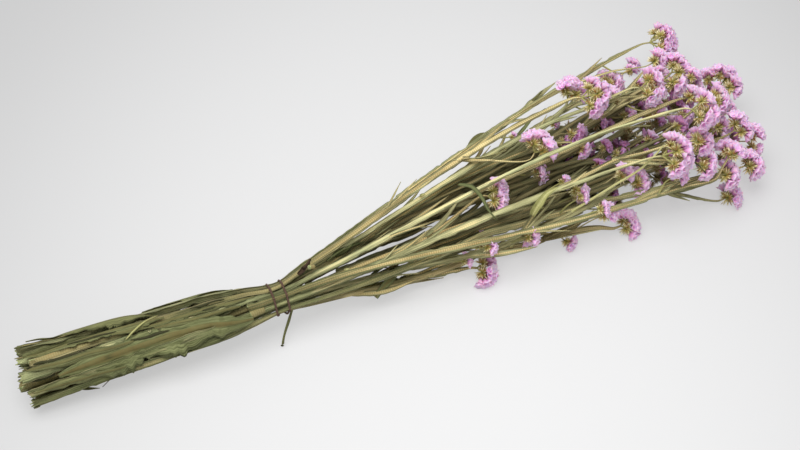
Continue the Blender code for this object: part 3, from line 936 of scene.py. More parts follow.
# Near black, for strips of painted shade in the furrows of the handle.
furrow_shade_material = leaf_finish("dark furrow leaf", "#33361f", "#4b4d2d", "#222311", "#3b3621")
green_leaf_material = leaf_finish("olive leaf", "#525936", "#72794c", "#3c422a", "#777b4e")
pale_leaf_material = leaf_finish("pale leaf", "#a09f60", "#bdbb80", "#7c7c44", "#c6c28c")
brown_leaf_material = leaf_finish("brown leaf base", "#33271e", "#4f3c2d", "#211a14", "#5b4633")
print("made six leaf finishes")

# %% [markdown]
# ### The brown elastic
#
# The elastic is a rubber thread wound with dark brown yarn, so fine cross turns show along it.

# %% Elastic finish
YARN_PITCH = 0.0009


def elastic_finish(name):
    """Brown yarn that runs round the elastic, with loose fibres."""
    paint = Paint(name, 0.7, Specular_IOR_Level=0.3)
    along, edge = paint.marks("along", "edge")
    fuzz = paint.mottle(1400.0, 2.0)
    turns = (along * (1 / YARN_PITCH) + edge).wave()
    paint.set("Base Color", paint.coats("#3c2a23", (turns, "#7a5d4d"), ((fuzz - 0.5).clamped(), "#8a6f5c")))
    paint.bump(turns + fuzz * 0.4, 0.8, 0.0004)
    return paint.material


elastic_material = elastic_finish("brown elastic")
print("made", elastic_material.name)

# %% [markdown]
# ## Skinning a way
#
# A stem, a leaf and the elastic are all a section that travels along a way. Lofting by hand means keeping
# count of points and faces. A neat short cut is to let Blender make a flat grid, one column for each
# point of the section and one row for each step along the way, and then to lay the grid's corners where
# they belong. A tube's first and last columns meet, and the seam is welded.

# %% Blank shapes with their marks
MARKS = ("along", "core", "edge", "tint")
WELD = 1e-6
SOFT = 1.5                          # below this height, what would sink into the surface is pressed flat


def blank_shape():
    """An empty bmesh whose points carry the marks."""
    shape = bmesh.new()
    for mark in MARKS:
        shape.verts.layers.float.new(mark)
    return shape


def write_marks(shape, vert, **values):
    """Writes some of the marks of a point."""
    for mark, value in values.items():
        vert[shape.verts.layers.float[mark]] = value


def pressed(height, soft=SOFT):
    """A height above the surface, for one that may be below it."""
    return soft * math.exp(height / soft - 1) if height < soft else height


def skin(shape, rings, slot=0):
    """Lays a tube of faces through rings, each a list of points in millimetres and a list of their marks.

    Returns the open loops' edges at the first and the last ring."""
    wide = len(rings[0][0])
    tall = len(rings) - 1
    made = bmesh.ops.create_grid(shape, x_segments=wide, y_segments=tall, size=0.5)["verts"]
    ends = ([], [])
    for vert in made:
        column = round((vert.co.x + 0.5) * wide) % wide
        row = round((vert.co.y + 0.5) * tall)
        points, marks = rings[row]
        vert.co = (points[column] + SHIFT) * MM
        write_marks(shape, vert, **marks[column])
        if row in (0, tall):
            ends[row == tall].append(vert)
    for face in {face for vert in made for face in vert.link_faces}:
        face.material_index = slot
        face.smooth = True
    seam = [vert for vert in made if vert.is_boundary]
    bmesh.ops.remove_doubles(shape, verts=seam, dist=WELD)
    return [{edge for vert in end if vert.is_valid for edge in vert.link_edges if edge.is_boundary}
            for end in ends]


def add_tube(shape, rings, slot=0, ends=None, press=True):
    """Adds a closed tube; ends holds the finishes of its two ends where they aren't the skin's."""
    if press:
        for points, _ in rings:
            for point in points:
                point.z = pressed(point.z)
    for loop, end_slot in zip(skin(shape, rings, slot), ends or (slot, slot)):
        for face in bmesh.ops.holes_fill(shape, edges=list(loop), sides=0)["faces"]:
            face.material_index = end_slot


def add_piece(name, shape, materials):
    """Makes a finished shape a piece of the bunch."""
    piece = put(name, mesh_from(name, shape, materials))
    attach(piece, "root")
    return piece


test = blank_shape()
print("marks on a blank shape:", test.verts.layers.float.keys())
test.free()

# %% [markdown]
# ## A smooth way and its frames
#
# The plan gives a point every 24 mm. A curve through them, with its direction at each point taken from the
# points on both sides, has no kinks. At each step the section needs to know which way is along, which way
# is across, and which way is up.

# %% Smooth ways
def smooth_way(points, step):
    """Points about step apart on a smooth curve through the given ones."""
    ends = [points[0] * 2 - points[1]] + list(points) + [points[-1] * 2 - points[-2]]
    way = []
    for before, start, end, after in zip(ends, ends[1:], ends[2:], ends[3:]):
        gap = (end - start).length
        leave = (end - before) * (gap / (gap + (start - before).length))
        arrive = (after - start) * (gap / (gap + (after - end).length))
        steps = max(1, round(gap / step))
        way += [curved(start, leave, end, arrive, k / steps) for k in range(steps)]
    way.append(Vector(points[-1]))
    return way


def frames_along(way, loop=False):
    """For each point of a way: along, across and up, and the distance from its start."""
    frames = []
    distance = 0.0
    last = len(way) - 1
    for k, point in enumerate(way):
        before = way[k - 1] if loop else way[max(k - 1, 0)]
        after = way[(k + 1) % len(way)] if loop else way[min(k + 1, last)]
        along = (after - before).normalized()
        across = UP_AXIS.cross(along)
        across = across.normalized() if across.length > 0.15 else Vector((0, 1, 0))
        if k:
            distance += (point - way[k - 1]).length
        frames.append((along, across, along.cross(across).normalized(), distance))
    return frames


def ripple(distance, pitch, seed):
    """Smooth noise from -1 to 1 along a way, with bumps about pitch apart."""
    return noise.noise(Vector((distance / pitch, seed * 7.31, seed * 1.7))) * 1.6


trial = smooth_way([Vector((0, 0, 0)), Vector((24, 3, 0)), Vector((48, 0, 0))], 3)
print("a way through three points has", len(trial), "points")

# %% [markdown]
# ## A winged section
#
# Cut across, a statice stem is a small core with three or four thin wings that stand out round it. The same
# outline serves a leaf, which is two wings on a midrib. Going round anticlockwise, each wing gives its two
# sides and its edge, and between two wings the core shows.

# %% The winged outline
FULL_STOPS = ((0.0, 0.34), (0.5, 0.2), (1.0, 0.0))       # share of the way out, half thickness
LEAF_STOPS = ((0.0, 0.3), (0.3, 0.24), (0.65, 0.18), (1.0, 0.0))


def winged_outline(core, wings, stops=FULL_STOPS):
    """Corners of a winged section, anticlockwise: (across, up, core mark, edge mark).

    wings holds, in anticlockwise order, the angle of each wing, its reach and how far its edge bends."""
    corners = []
    for (angle, reach, bend), (before, _, _) in zip(wings, wings[-1:] + wings[:-1]):
        valley = angle - ((angle - before) % math.tau) / 2
        corners.append((core * math.cos(valley), core * math.sin(valley), 1.0, 0.0))
        out = Vector((math.cos(angle), math.sin(angle)))
        beside = Vector((-out.y, out.x))
        there = [(share, -thick) for share, thick in stops]
        for share, thick in there + [(share, -thick) for share, thick in there[-2::-1]]:
            away = core * 0.92 + (reach - core * 0.92) * share
            place = out * away + beside * (bend * share ** 2 + thick)
            corners.append((place.x, place.y, 0.85 if share == 0 else 0.0, share))
    return corners


def laid(outline, point, frame_here, tint, turn):
    """The ring of points and marks that an outline makes on a way, with its top turned from across to up."""
    _, across, up, distance = frame_here
    top = across * math.cos(turn) + up * math.sin(turn)
    right = across * math.sin(turn) - up * math.cos(turn)
    return ([point + right * a + top * b for a, b, _, _ in outline],
            [{"along": distance * MM, "core": core, "edge": edge, "tint": tint}
             for _, _, core, edge in outline])


def round_ring(point, frame_here, radius, sides, **marks):
    """The ring of points and marks that a round section makes on a way; edge runs round it, if not given."""
    _, across, up, distance = frame_here
    turns = [side * math.tau / sides for side in range(sides)]
    return ([point + (across * math.cos(turn) + up * math.sin(turn)) * radius for turn in turns],
            [{"along": distance * MM, "edge": turn / math.tau, **marks} for turn in turns])


print("corners round a stem with three wings:",
      len(winged_outline(1.5, [(0, 5, 0), (math.pi, 5, 0), (1.5 * math.pi, 4, 0)])))

# %% [markdown]
# ## The stems
#
# In the handle the stems lie with two wings flat against the bundle and one towards its middle, as they do
# when a bunch is wrapped, so the wings follow the circle round the middle of the handle. Above the tie they
# are free, and each turns its broad side slowly one way or another. The wings are a little wavy and ragged,
# and they narrow where the elastic grips them.

# %% Where stems lie in a section
def section_place(way, x):
    """Where a stem's way crosses the section at x."""
    k = next(k for k, point in enumerate(way) if point.x > x)
    point = way[k - 1].lerp(way[k], (x - way[k - 1].x) / (way[k].x - way[k - 1].x))
    return Vector((point.y, point.z))


def hull_point(ways, x, angle, extra):
    """The point that lies extra outside the stems' common outline at x, in the direction of angle."""
    outward = Vector((math.cos(angle), math.sin(angle)))
    places = [section_place(way, x) for way in ways if way[0].x < x]
    furthest = max(places, key=lambda place: place.dot(outward))
    point = furthest + outward * (stem_radius(x) + extra)
    return Vector((x, point.x, point.y))


print("the plan's sections of the handle:", len(sections))

# %% Stem widths
STEM_STEP = 2.4
WING_SHARES = [(-300, 1.25), (-150, 1.25), (-122, 1.05), (-98, 1.05), (-60, 1.05), (100, 1.15), (300, 1.25)]
CORE_SHARE = 0.46
TAPER = 26                          # over this length a stalk narrows into the head it carries
STEM_WINGS = ((-12, 1.0), (192, 1.0), (270, 0.8))       # degrees from across, and share of the full reach
EXTRA_WING = (80, 0.55)
STALK_WINGS = ((0, 1.0), (180, 1.0))
NOTCH = 0.7                         # where a wing is torn it keeps this share of its reach
NOTCH_ABOVE = 0.55


def turn_towards(start, goal, share):
    """The angle that share of the shorter way round from start to goal reaches; half turns look alike."""
    gap = (goal - start + math.pi / 2) % math.pi - math.pi / 2
    return start + gap * share


def handle_middle(x):
    """The middle of the handle at x, across and up."""
    cut, tie = Vector(HANDLE_MIDDLES[0]), Vector(HANDLE_MIDDLES[1])
    return cut.lerp(tie, (x - CUT_X) / (TIE_X - CUT_X))


def spoke_at(point):
    """The direction from the middle of the handle out to a point, as an angle."""
    spoke = Vector((point.y, point.z)) - handle_middle(point.x)
    return math.atan2(spoke.y, spoke.x)


def stem_turns(way, draw):
    """Which way the flat top of a stem's section points at each step, as an angle from across to up."""
    free = math.radians(draw.uniform(60, 150))
    seed = draw.uniform(0, 50)
    turns = []
    for point in way:
        spoke = spoke_at(point) if point.x <= TIE_X else spoke_at(Vector((TIE_X, *section_place(way, TIE_X))))
        share = min(1.0, max(0.0, (point.x - TIE_X) / 130))
        turns.append(turn_towards(spoke, free, share) + 0.35 * ripple(point.x, 70, seed))
    return turns

print("a free stem's core is", round(2 * CORE_SHARE * stem_radius(100), 1), "mm thick")

# %% One winged strand
def strand_rings(way, turns, radius, tint, draw, wings=STALK_WINGS):
    """The rings of a winged strand along a way."""
    seeds = [draw.uniform(0, 90) for _ in wings]
    frames = frames_along(way)
    length = frames[-1][3]
    rings = []
    for point, turn, frame_here in zip(way, turns, frames):
        distance = frame_here[3]
        half_width = radius(point.x)
        narrow = min(1.0, 0.35 + 0.65 * (length - distance) / TAPER)
        core = half_width * CORE_SHARE * (0.6 + 0.4 * narrow)
        full = half_width * between(WING_SHARES, point.x) * narrow
        grown = []
        for (angle, share), seed in zip(wings, seeds):
            wave = 1 + 0.12 * ripple(distance, 26, seed) + 0.1 * ripple(distance, 5, seed + 3)
            if ripple(distance, 13, seed + 7) > NOTCH_ABOVE:
                wave *= NOTCH
            reach = max(core * 1.15, full * share * wave)
            bend = reach * (0.25 * ripple(distance, 30, seed + 10) + 0.12 * ripple(distance, 8, seed + 20))
            grown.append((math.radians(angle), reach, bend))
        rings.append(laid(winged_outline(core, grown), point, frame_here, tint, turn))
    return rings


print("a stem's wings reach", round(stem_radius(-200) * between(WING_SHARES, -200), 1), "mm in the handle")

# %% [markdown]
# ### Leafy points at the forks
#
# Where a statice stem forks, its wings run out into narrow green points beside the side stalk, and a short
# scale sits in the fork. Longer lobes leave the wings along the way. They give the bunch its grassy look.
# Torn strips of skin and pith fringe the cut ends.

# %% A thin blade
LOBES_FROM = -55                    # lobes leave the wings from here on
BLADE_STEP = 2.0
BARE_CHANCE = 0.15                  # that a side of a fork has no leafy point
STRIPS = 3


def blade_rings(way, half_width, tint, seed, face, fold, tip):
    """The rings of a thin leaf: narrow at its foot, widest before the middle, and pointed."""
    rings = []
    frames = frames_along(way)
    length = frames[-1][3]
    for point, frame_here in zip(way, frames):
        distance = frame_here[3]
        share = distance / length
        belly = math.sin(math.pi * (0.12 + 0.88 * share) ** 0.8) ** 0.7 if share < 0.999 else 0.0
        width = half_width * max(tip, belly) * (1 + 0.12 * ripple(distance, 6, seed))
        turn = math.radians(face) + 0.2 * ripple(distance, 25, seed)
        folds = [width * (fold + 0.2 * ripple(distance, 9, seed + side)) for side in (1, 2)]
        halves = [(0.0, width, folds[0]), (math.pi, width, -folds[1])]
        rings.append(laid(winged_outline(min(0.45, width * 0.3), halves), point, frame_here, tint, turn))
    return rings


def add_blade(shape, points, half_width, draw, face=90, fold=0.25, tip=0.12, slot=0):
    """Adds a thin leaf: face turns it about its way, fold bends it along its rib, tip keeps its end wide."""
    way = smooth_way(points, BLADE_STEP)
    add_tube(shape, blade_rings(way, half_width, draw.random(), draw.uniform(0, 99), face, fold, tip), slot)


def fork_scale(shape, stalk_way, draw):
    """Adds the short scale that sits in the fork of a side stalk."""
    foot = stalk_way[2]
    heading = (stalk_way[8] - foot).normalized()
    tip = foot + heading * 5 + UP_AXIS * 2.4
    add_blade(shape, [foot - heading * 2.5 + UP_AXIS * 0.8, foot + heading * 1.5 + UP_AXIS * 1.9, tip],
              1.7, draw, face=80, fold=0.7)


def fork_points(shape, stalk_way, draw):
    """Adds the leafy points beside a side stalk."""
    start = stalk_way[0]
    heading = (stalk_way[min(6, len(stalk_way) - 1)] - start).normalized()
    for side in (-1, 1):
        if draw.random() < BARE_CHANCE:
            continue
        length = draw.uniform(20, 48)
        spread = heading.cross(UP_AXIS).normalized() * side
        rise = UP_AXIS * (length * draw.uniform(-0.1, 0.5) * 0.4)
        points = [start - heading * 4,
                  start + heading * (length * 0.45) + spread * (length * 0.07),
                  start + heading * length + spread * (length * draw.uniform(0.12, 0.3)) + rise]
        add_blade(shape, points, draw.uniform(1.4, 2.5), draw, face=draw.uniform(50, 130))


def wing_lobes(shape, way, draw, count):
    """Adds long pointed lobes where the wings of a stem run out beside it."""
    for _ in range(count):
        start = draw.choice([point for point in way if LOBES_FROM < point.x < way[-1].x - 30])
        k = way.index(start)
        heading = (way[min(k + 8, len(way) - 1)] - start).normalized()
        aside = heading.cross(UP_AXIS).normalized() * draw.choice((-1, 1))
        length = min(draw.uniform(22, 60), way[-1].x - start.x)
        lift = UP_AXIS * draw.uniform(-0.1, 0.14)
        points = [start, start + heading * (length * 0.5) + aside * (length * draw.uniform(0.03, 0.09)),
                  start + (heading + aside * draw.uniform(0.08, 0.28) + lift) * length]
        add_blade(shape, points, draw.uniform(1.3, 2.6), draw, face=draw.uniform(40, 140))


def cut_fringe(shape, end, draw):
    """Adds torn strips to a cut end: two of skin, and one of pith."""
    for strip in range(STRIPS):
        away = Vector((0, draw.uniform(-1, 1), draw.uniform(-1, 1))) * (0.7 * stem_radius(end.x))
        foot = end + away + Vector((4, 0, 0))
        tip = end + away * 1.2 - Vector((draw.uniform(0.8, 3.2), 0, 0))
        add_blade(shape, [foot, foot.lerp(tip, 0.6), tip], draw.uniform(0.6, 1.1), draw,
                  tip=0.3, slot=strip // 2, face=draw.uniform(0, 180))


test = blank_shape()
add_blade(test, [Vector((0, 0, 50)), Vector((12, 2, 52)), Vector((24, 3, 50))], 2.0, random.Random(0))
print("faces in a leafy point 24 mm long:", len(test.faces))
test.free()

# %% Dressing every stem
EXTRA_WING_CHANCE = 0.4
CUT_DEPTH = 1.6                     # how ragged a cut is
LOBES = 4


def side_radius(x):
    """Half width of a side stalk with its narrow wings."""
    return 1.25 * STALK_RADIUS


def stem_piece(number, strands):
    """A stem with its side stalks and leafy points, from its cut end to its flower heads."""
    draw = random.Random(f"stem {number}")
    cut_draw = random.Random(f"stem_{number:02d}")
    points = [Vector((x, *sections[x][number - 1])) for x in sorted(sections)] + strands[0].route()[1:]
    if number == SHORT_STEM:
        start = Vector((SHORT_X, *section_place(points, SHORT_X)))
        points = [start] + [point for point in points if point.x > SHORT_X]
    points[0] = points[0] + Vector((cut_draw.uniform(-RAGGED, RAGGED), 0, 0))
    tint = draw.random()
    way = smooth_way(points, STEM_STEP)
    wings = STEM_WINGS
    if draw.random() < EXTRA_WING_CHANCE:
        wings = (wings[0], EXTRA_WING) + wings[1:]
    rings = strand_rings(way, stem_turns(way, draw), stem_radius, tint, draw, wings)
    for point in rings[0][0]:
        point.x += draw.uniform(-CUT_DEPTH, CUT_DEPTH)
    shape = blank_shape()
    add_tube(shape, rings, ends=(1, 0))
    for stalk in strands[1:]:
        stalk_way = smooth_way(stalk.route(), STEM_STEP)
        lean = math.radians(draw.uniform(50, 140))
        turns = [lean + 0.4 * ripple(point.x, 40, number) for point in stalk_way]
        add_tube(shape, strand_rings(stalk_way, turns, side_radius, tint, draw))
        fork_points(shape, stalk_way, draw)
        fork_scale(shape, stalk_way, cut_draw)
    wing_lobes(shape, way, draw, LOBES)
    if number != SHORT_STEM:
        cut_fringe(shape, way[0], cut_draw)
    piece = add_piece(f"winged_stem_{number:02d}", shape, (stem_material, pith_material))
    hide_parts(f"stem_{number:02d}")
    return way


ways = [stem_piece(number, strands) for number, strands in enumerate(stems, 1)]
print("stems dressed:", len(ways))

# %% [markdown]
# ## One papery cup
#
# A calyx is a pleated funnel. A turned funnel is a profile that is spun round, and pleats are then a small
# push on every second line of points. Five pleats need ten sides. The wall is double, like real paper, so
# the cup is a closed shape. A handful of different cups, used over and over, is enough for a thousand
# flowers.

# %% Spinning a closed shape
def spun(profile, sides):
    """A closed shape turned round Z from a profile of (radius, height) pairs that starts and ends on Z."""
    shape = blank_shape()
    verts = [shape.verts.new((radius, 0, height)) for radius, height in profile]
    edges = [shape.edges.new(pair) for pair in zip(verts, verts[1:])]
    bmesh.ops.spin(shape, geom=verts + edges, axis=(0, 0, 1), cent=(0, 0, 0), angle=math.tau, steps=sides,
                   use_merge=True)
    bmesh.ops.remove_doubles(shape, verts=shape.verts, dist=WELD)
    bmesh.ops.recalc_face_normals(shape, faces=shape.faces)
    for face in shape.faces:
        face.smooth = True
    return shape


test = spun([(0, 0), (1, 1), (0, 2)], 4)
print("faces in a spindle with four sides:", len(test.faces))
test.free()

# %% Calyx and bract patterns
CALYX_LENGTH = 7.6
CALYX_SIDES = 10
CALYX_PROFILE = [(0, 0), (1.9, 4.4), (4.2, CALYX_LENGTH - 0.1), (4.05, CALYX_LENGTH), (1.6, 4.9), (0, 2.6)]
PLEAT = 0.07                        # how far a fold stands in or out, as a share of the rim's radius


def calyx_pattern(number):
    """One papery cup, foot at the origin and mouth towards Z, in millimetres."""
    draw = random.Random(f"calyx {number}")
    shape = spun(CALYX_PROFILE, CALYX_SIDES)
    lobes = [draw.uniform(0.86, 1.12) for _ in range(CALYX_SIDES)]
    squeeze = draw.uniform(0.7, 1.0)
    for vert in shape.verts:
        share = min(1.0, vert.co.z / CALYX_LENGTH)
        side = round(math.atan2(vert.co.y, vert.co.x) / math.tau * CALYX_SIDES) % CALYX_SIDES
        ridge = 1 if side % 2 else -1
        push = share ** 2
        flare = (1 + PLEAT * ridge * push) * (1 + (lobes[side] - 1) * push)
        vert.co.x *= flare
        vert.co.y *= flare * (1 - (1 - squeeze) * push)
        vert.co.z += push * (0.5 * ridge + 2.4 * (lobes[side] - 1))
        write_marks(shape, vert, edge=share, core=(ridge + 1) / 2)
    return mesh_from(f"calyx_{number}", shape)


def bract_pattern(number):
    """One stiff scale, foot at the origin and tip towards Z, in millimetres."""
    draw = random.Random(f"bract {number}")
    length = draw.uniform(6.6, 8.4)
    shape = spun([(0, 0), (0.76, 0.22 * length), (0.42, 0.78 * length), (0, length)], 5)
    for vert in shape.verts:
        share = vert.co.z / length
        vert.co.y *= 0.6
        vert.co.x += 0.5 * share ** 2
        write_marks(shape, vert, edge=share)
    for face in shape.faces:
        face.material_index = 1
    return mesh_from(f"bract_{number}", shape)


CALYXES = [calyx_pattern(number) for number in range(8)]
BRACTS = [bract_pattern(number) for number in range(5)]
print("faces in a calyx:", len(CALYXES[0].polygons), "and in a bract:", len(BRACTS[0].polygons))

# %% [markdown]
# ## A spray of small fans
#
# The cups of statice stand in rows along one side of short curved twigs, like the teeth of a bent comb.
# Seen from the side, each twig makes a small fan: straw bracts radiate from its middle like a star, and
# the cups make a ruffled pink crescent round them. A head is one to four such fans, side by side on a
# shallow arc and in two layers. Bracts stand all the way round each middle, so the back of a head is olive.

# %% Placing copies
FAN_RADIUS = 11.0                   # from a small fan's middle to the rims of its cups
CUP_FOOT = 3.8                      # how far out a cup's foot stands
CUP_STEP = math.radians(25)         # between neighbouring cups of a fan
BRACT_STEP = math.radians(22)
FAN_SIZE = 0.92                     # of the small fans in a head that has more than one


def add_copy(shape, pattern, place, tint):
    """Adds a pattern, moved by place, which turns millimetres into the frame's metres.

    All copies go in before anything is welded: a weld leaves free places in the list of points, which
    later points would fill, so that they no longer stood at its end."""
    start = len(shape.verts)
    shape.from_mesh(pattern)
    shape.verts.ensure_lookup_table()
    fresh = shape.verts[start:]
    bmesh.ops.transform(shape, matrix=place, verts=fresh)
    for vert in fresh:
        write_marks(shape, vert, tint=tint)


def standing(foot, direction, spin, size):
    """The matrix that stands a pattern at foot, pointing in direction and turned by spin about itself."""
    turned = direction.to_track_quat("Z", "Y").to_matrix() @ Matrix.Rotation(spin, 3, "Z")
    return Matrix.Translation((foot + SHIFT) * MM) @ (turned * (size * MM)).to_4x4()


print("a pattern is made", round(standing(Vector(), UP_AXIS, 0.0, 1.0).to_scale().x, 4), "times its size")

# %% Twigs
TWIG_SIDES = 6
TWIG_TAPER = 0.4


def add_twig(shape, points, radius, tint):
    """A thin round twig."""
    way = smooth_way(points, STEM_STEP)
    rings = [round_ring(point, frame_here, radius * (1 - TWIG_TAPER * k / len(way)), TWIG_SIDES,
                        core=1.0, edge=0.5, tint=tint)
             for k, (point, frame_here) in enumerate(zip(way, frames_along(way)))]
    add_tube(shape, rings, slot=1, press=False)


test = blank_shape()
add_twig(test, [Vector((0, 0, 9)), Vector((10, 1, 9)), Vector((20, 3, 9))], 1.0, 0.5)
print("faces in a twig 20 mm long:", len(test.faces))
test.free()

# %% One small fan
CUP_LAYERS = ((-0.48, 0.8), (-0.16, 1.05), (0.16, 1.1), (0.48, 0.95))       # lean, and spread to each side
STAR_LAYERS = ((-0.8, 2.2), (-0.35, 2.6), (0.1, 2.6), (0.5, 2.6), (0.85, 2.4))


def directions(axes, spread, step, lean, draw):
    """Directions that fan out from the first of three axes towards the second, with a lean to the third."""
    facing, side, flat = axes
    count = max(2, round(2 * spread / step))
    for k in range(count):
        turn = spread * (2 * (k + 0.5) / count - 1) + draw.gauss(0, 0.07)
        tilt = lean + draw.gauss(0, 0.12)
        level = facing * math.cos(turn) + side * math.sin(turn)
        yield (level * math.cos(tilt) + flat * math.sin(tilt)).normalized()


def add_small_fan(shape, hub, axes, size, draw):
    """A star of bracts with a crescent of papery cups round it, longer on one side than on the other."""
    uneven = Matrix.Rotation(draw.uniform(-0.35, 0.35), 3, axes[2])
    turned = (uneven @ axes[0], uneven @ axes[1], axes[2])
    for lean, spread in CUP_LAYERS:
        for direction in directions(turned, spread * draw.uniform(0.85, 1.15), CUP_STEP, lean, draw):
            grown = size * draw.uniform(0.88, 1.12)
            foot = hub + direction * (CUP_FOOT * grown)
            place = standing(foot, direction, draw.uniform(0, math.tau), grown)
            add_copy(shape, draw.choice(CALYXES), place, draw.random())
    add_star(shape, hub, axes, size, draw)


def add_star(shape, hub, axes, size, draw):
    """Bracts that radiate from a hub, most of them outside the cups."""
    for lean, spread in STAR_LAYERS:
        for direction in directions(axes, spread, BRACT_STEP, lean, draw):
            place = standing(hub, direction, draw.uniform(0, math.tau), size * draw.uniform(0.75, 1.15))
            add_copy(shape, draw.choice(BRACTS), place, draw.random())


test = blank_shape()
add_small_fan(test, Vector(), (Vector((1, 0, 0)), Vector((0, 1, 0)), UP_AXIS), 1.0, random.Random(0))
print("faces in a small fan:", len(test.faces))
test.free()

# %% A whole spray
SCALE_PLACES = (0.3, 0.5, 0.65, 0.8, 0.9)       # along the twig from the stalk to a fan
FAN_WIDTHS = (21, 27, 34)           # heads at least this wide have two, three and four small fans
FAN_ARC = 0.6                       # how far the outer fans turn outwards
FAN_LAYER = 0.07                    # how far each lies above or below the middle, as a share of the width
TWIG_RADIUS = 0.75


def add_scales(shape, foot, hub, axes, size, draw):
    """Scales that stand off a twig all the way from the stalk to its fan."""
    for share in SCALE_PLACES:
        reach = axes[0] + axes[1] * draw.uniform(-1.2, 1.2) + axes[2] * draw.uniform(-1.2, 1.2)
        place = standing(foot.lerp(hub, share), reach.normalized(), draw.uniform(0, math.tau),
                         size * draw.uniform(0.5, 0.8))
        add_copy(shape, draw.choice(BRACTS), place, draw.uniform(0.5, 1.0))


def add_spray(shape, middle, axes, width, draw, in_bloom=True):
    """Small fans side by side on a shallow arc, with the twigs that join them to the stalk."""
    facing, side, flat = axes
    foot = middle - facing * (HEAD_CENTRE * width)
    count = 1 + sum(width >= least for least in FAN_WIDTHS)
    size = min(1.0, width / FAN_WIDTHS[0]) if count == 1 else FAN_SIZE
    beside_middle = 0.5 * width - 0.92 * FAN_RADIUS * size
    ahead = 0.67 * width - FAN_RADIUS * size
    twigs = []
    for k in range(count):
        place = 0.0 if count == 1 else 2 * k / (count - 1) - 1
        turn = FAN_ARC * place + draw.gauss(0, 0.12)
        level = facing * math.cos(turn) + side * math.sin(turn)
        layer = flat * (width * FAN_LAYER * (-1) ** k)
        forward = ahead * (1 - 0.45 * place ** 2) * draw.uniform(0.85, 1.05)
        hub = foot + side * (beside_middle * place) + facing * forward + layer
        outward = (level + flat * draw.uniform(-0.25, 0.25)).normalized()
        beside = (side * math.cos(turn) - facing * math.sin(turn)).normalized()
        beside = (beside - outward * beside.dot(outward)).normalized()
        own = Matrix.Rotation(draw.uniform(-0.35, 0.35), 3, outward)
        fan_axes = (outward, own @ beside, own @ outward.cross(beside))
        if in_bloom:
            add_small_fan(shape, hub, fan_axes, size * draw.uniform(0.92, 1.06), draw)
        else:
            add_star(shape, hub, fan_axes, size, draw)
        twigs.append([foot, foot.lerp(hub, 0.5) + layer * 0.3, hub + outward])
        add_scales(shape, foot, hub, fan_axes, size, draw)
    for points in twigs:
        add_twig(shape, points, TWIG_RADIUS, 0.3)


def flower_piece(name, shape, materials):
    """Presses what would sink into the surface flat against it, and makes the flowers a piece."""
    for vert in shape.verts:
        vert.co.z = pressed(vert.co.z, SOFT * MM)
    return add_piece(name, shape, materials)


for name, head in heads.items():
    shape = blank_shape()
    draw = random.Random(f"spray {name}")
    add_spray(shape, head.middle, (head.facing, head.side, head.flat), head.width, draw)
    spray = flower_piece(f"flower_spray_{name}", shape, (calyx_material, bract_material))
    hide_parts(f"flower_head_{name}")
print("sprays:", len(heads))

# %% [markdown]
# ## The elastic
#
# The elastic is tight, so it follows the outline of the bundle: it touches the outermost stem in every
# direction and runs straight from one to the next. It goes round twice, and crosses itself underneath.

# %% Winding the elastic
BAND_RADIUS = 0.8
BAND_SPACING = 10
BAND_POINTS = 240
BAND_SINK = -0.9                    # the thread's middle against the stems' common outline
BAND_SIDES = 10


def elastic_piece():
    """The elastic: two turns round the stems' outline, spread apart on top, and evened out."""
    way = []
    for k in range(BAND_POINTS):
        turn = k * 2 * math.tau / BAND_POINTS
        along = max(-1.0, min(1.0, 1.8 * math.sin(turn / 2))) * BAND_SPACING / 2
        near_crossing = max(0.0, min(1.0, (1.1 - abs(turn - math.tau)) / 0.6))
        out = BAND_SINK + (2 * BAND_RADIUS + SEAT) * near_crossing
        way.append(hull_point(ways, TIE_X + along, turn - math.pi / 2, out))
    for _ in range(4):
        way = [(before + point * 2 + after) / 4
               for before, point, after in zip(way[-1:] + way, way, way[1:] + way[:1])]
    shape = blank_shape()
    rings = []
    for point, frame_here in zip(way, frames_along(way, loop=True)):
        thick = BAND_RADIUS * (1 + 0.06 * ripple(frame_here[3], 2.5, 3))
        rings.append(round_ring(point, frame_here, thick, BAND_SIDES, core=0.0, tint=0.5))
    skin(shape, rings + rings[:1])
    bmesh.ops.remove_doubles(shape, verts=shape.verts, dist=WELD)
    piece = add_piece("elastic", shape, (elastic_material,))
    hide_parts("tie_band")


elastic_piece()
print("elastic wound")

# %% [markdown]
# ## Leaves
#
# A broad grey-green leaf lies along the front of the handle, and a narrow one hangs from under the elastic
# down to the surface. A few smaller ones are caught among the stems.

# %% Leaves that lie along the handle
FURROW_BRIDGE = 1.3                 # stems count as this much thicker, so that a leaf spans the furrows
UPPER_PART = 0.75                   # the upper half of a leaf's width against the lower half's 1.25
LEAF_STEP = 1.5


def on_handle(x, angle, out):
    """A point that lies out above the stems of the handle, straight outwards from its middle."""
    outward = Vector((math.cos(angle), math.sin(angle)))
    middle = handle_middle(x)
    thick = stem_radius(x) * FURROW_BRIDGE
    reach = 0.0
    for way in ways:
        if way[0].x < x:
            place = section_place(way, x) - middle
            miss = place.cross(outward)
            if abs(miss) < thick:
                reach = max(reach, place.dot(outward) + math.sqrt(thick ** 2 - miss ** 2))
    return Vector((x, *(middle + outward * (reach + out))))


def evened(values):
    """The values with each one drawn towards its neighbours, eight times over."""
    for _ in range(8):
        inner = [(a + b * 2 + c) / 4 for a, b, c in zip(values, values[1:], values[2:])]
        values = values[:1] + inner + values[-1:]
    return values


def wing_fall(point, angle, beside, out):
    """How far the handle's surface lies below a leaf's plane at a place beside its midrib."""
    spoke = Vector((point.y, point.z)) - handle_middle(point.x)
    there = on_handle(point.x, angle + beside / max(spoke.length, 1.0), out) - point
    return min(0.0, there.y * math.cos(angle) + there.z * math.sin(angle))


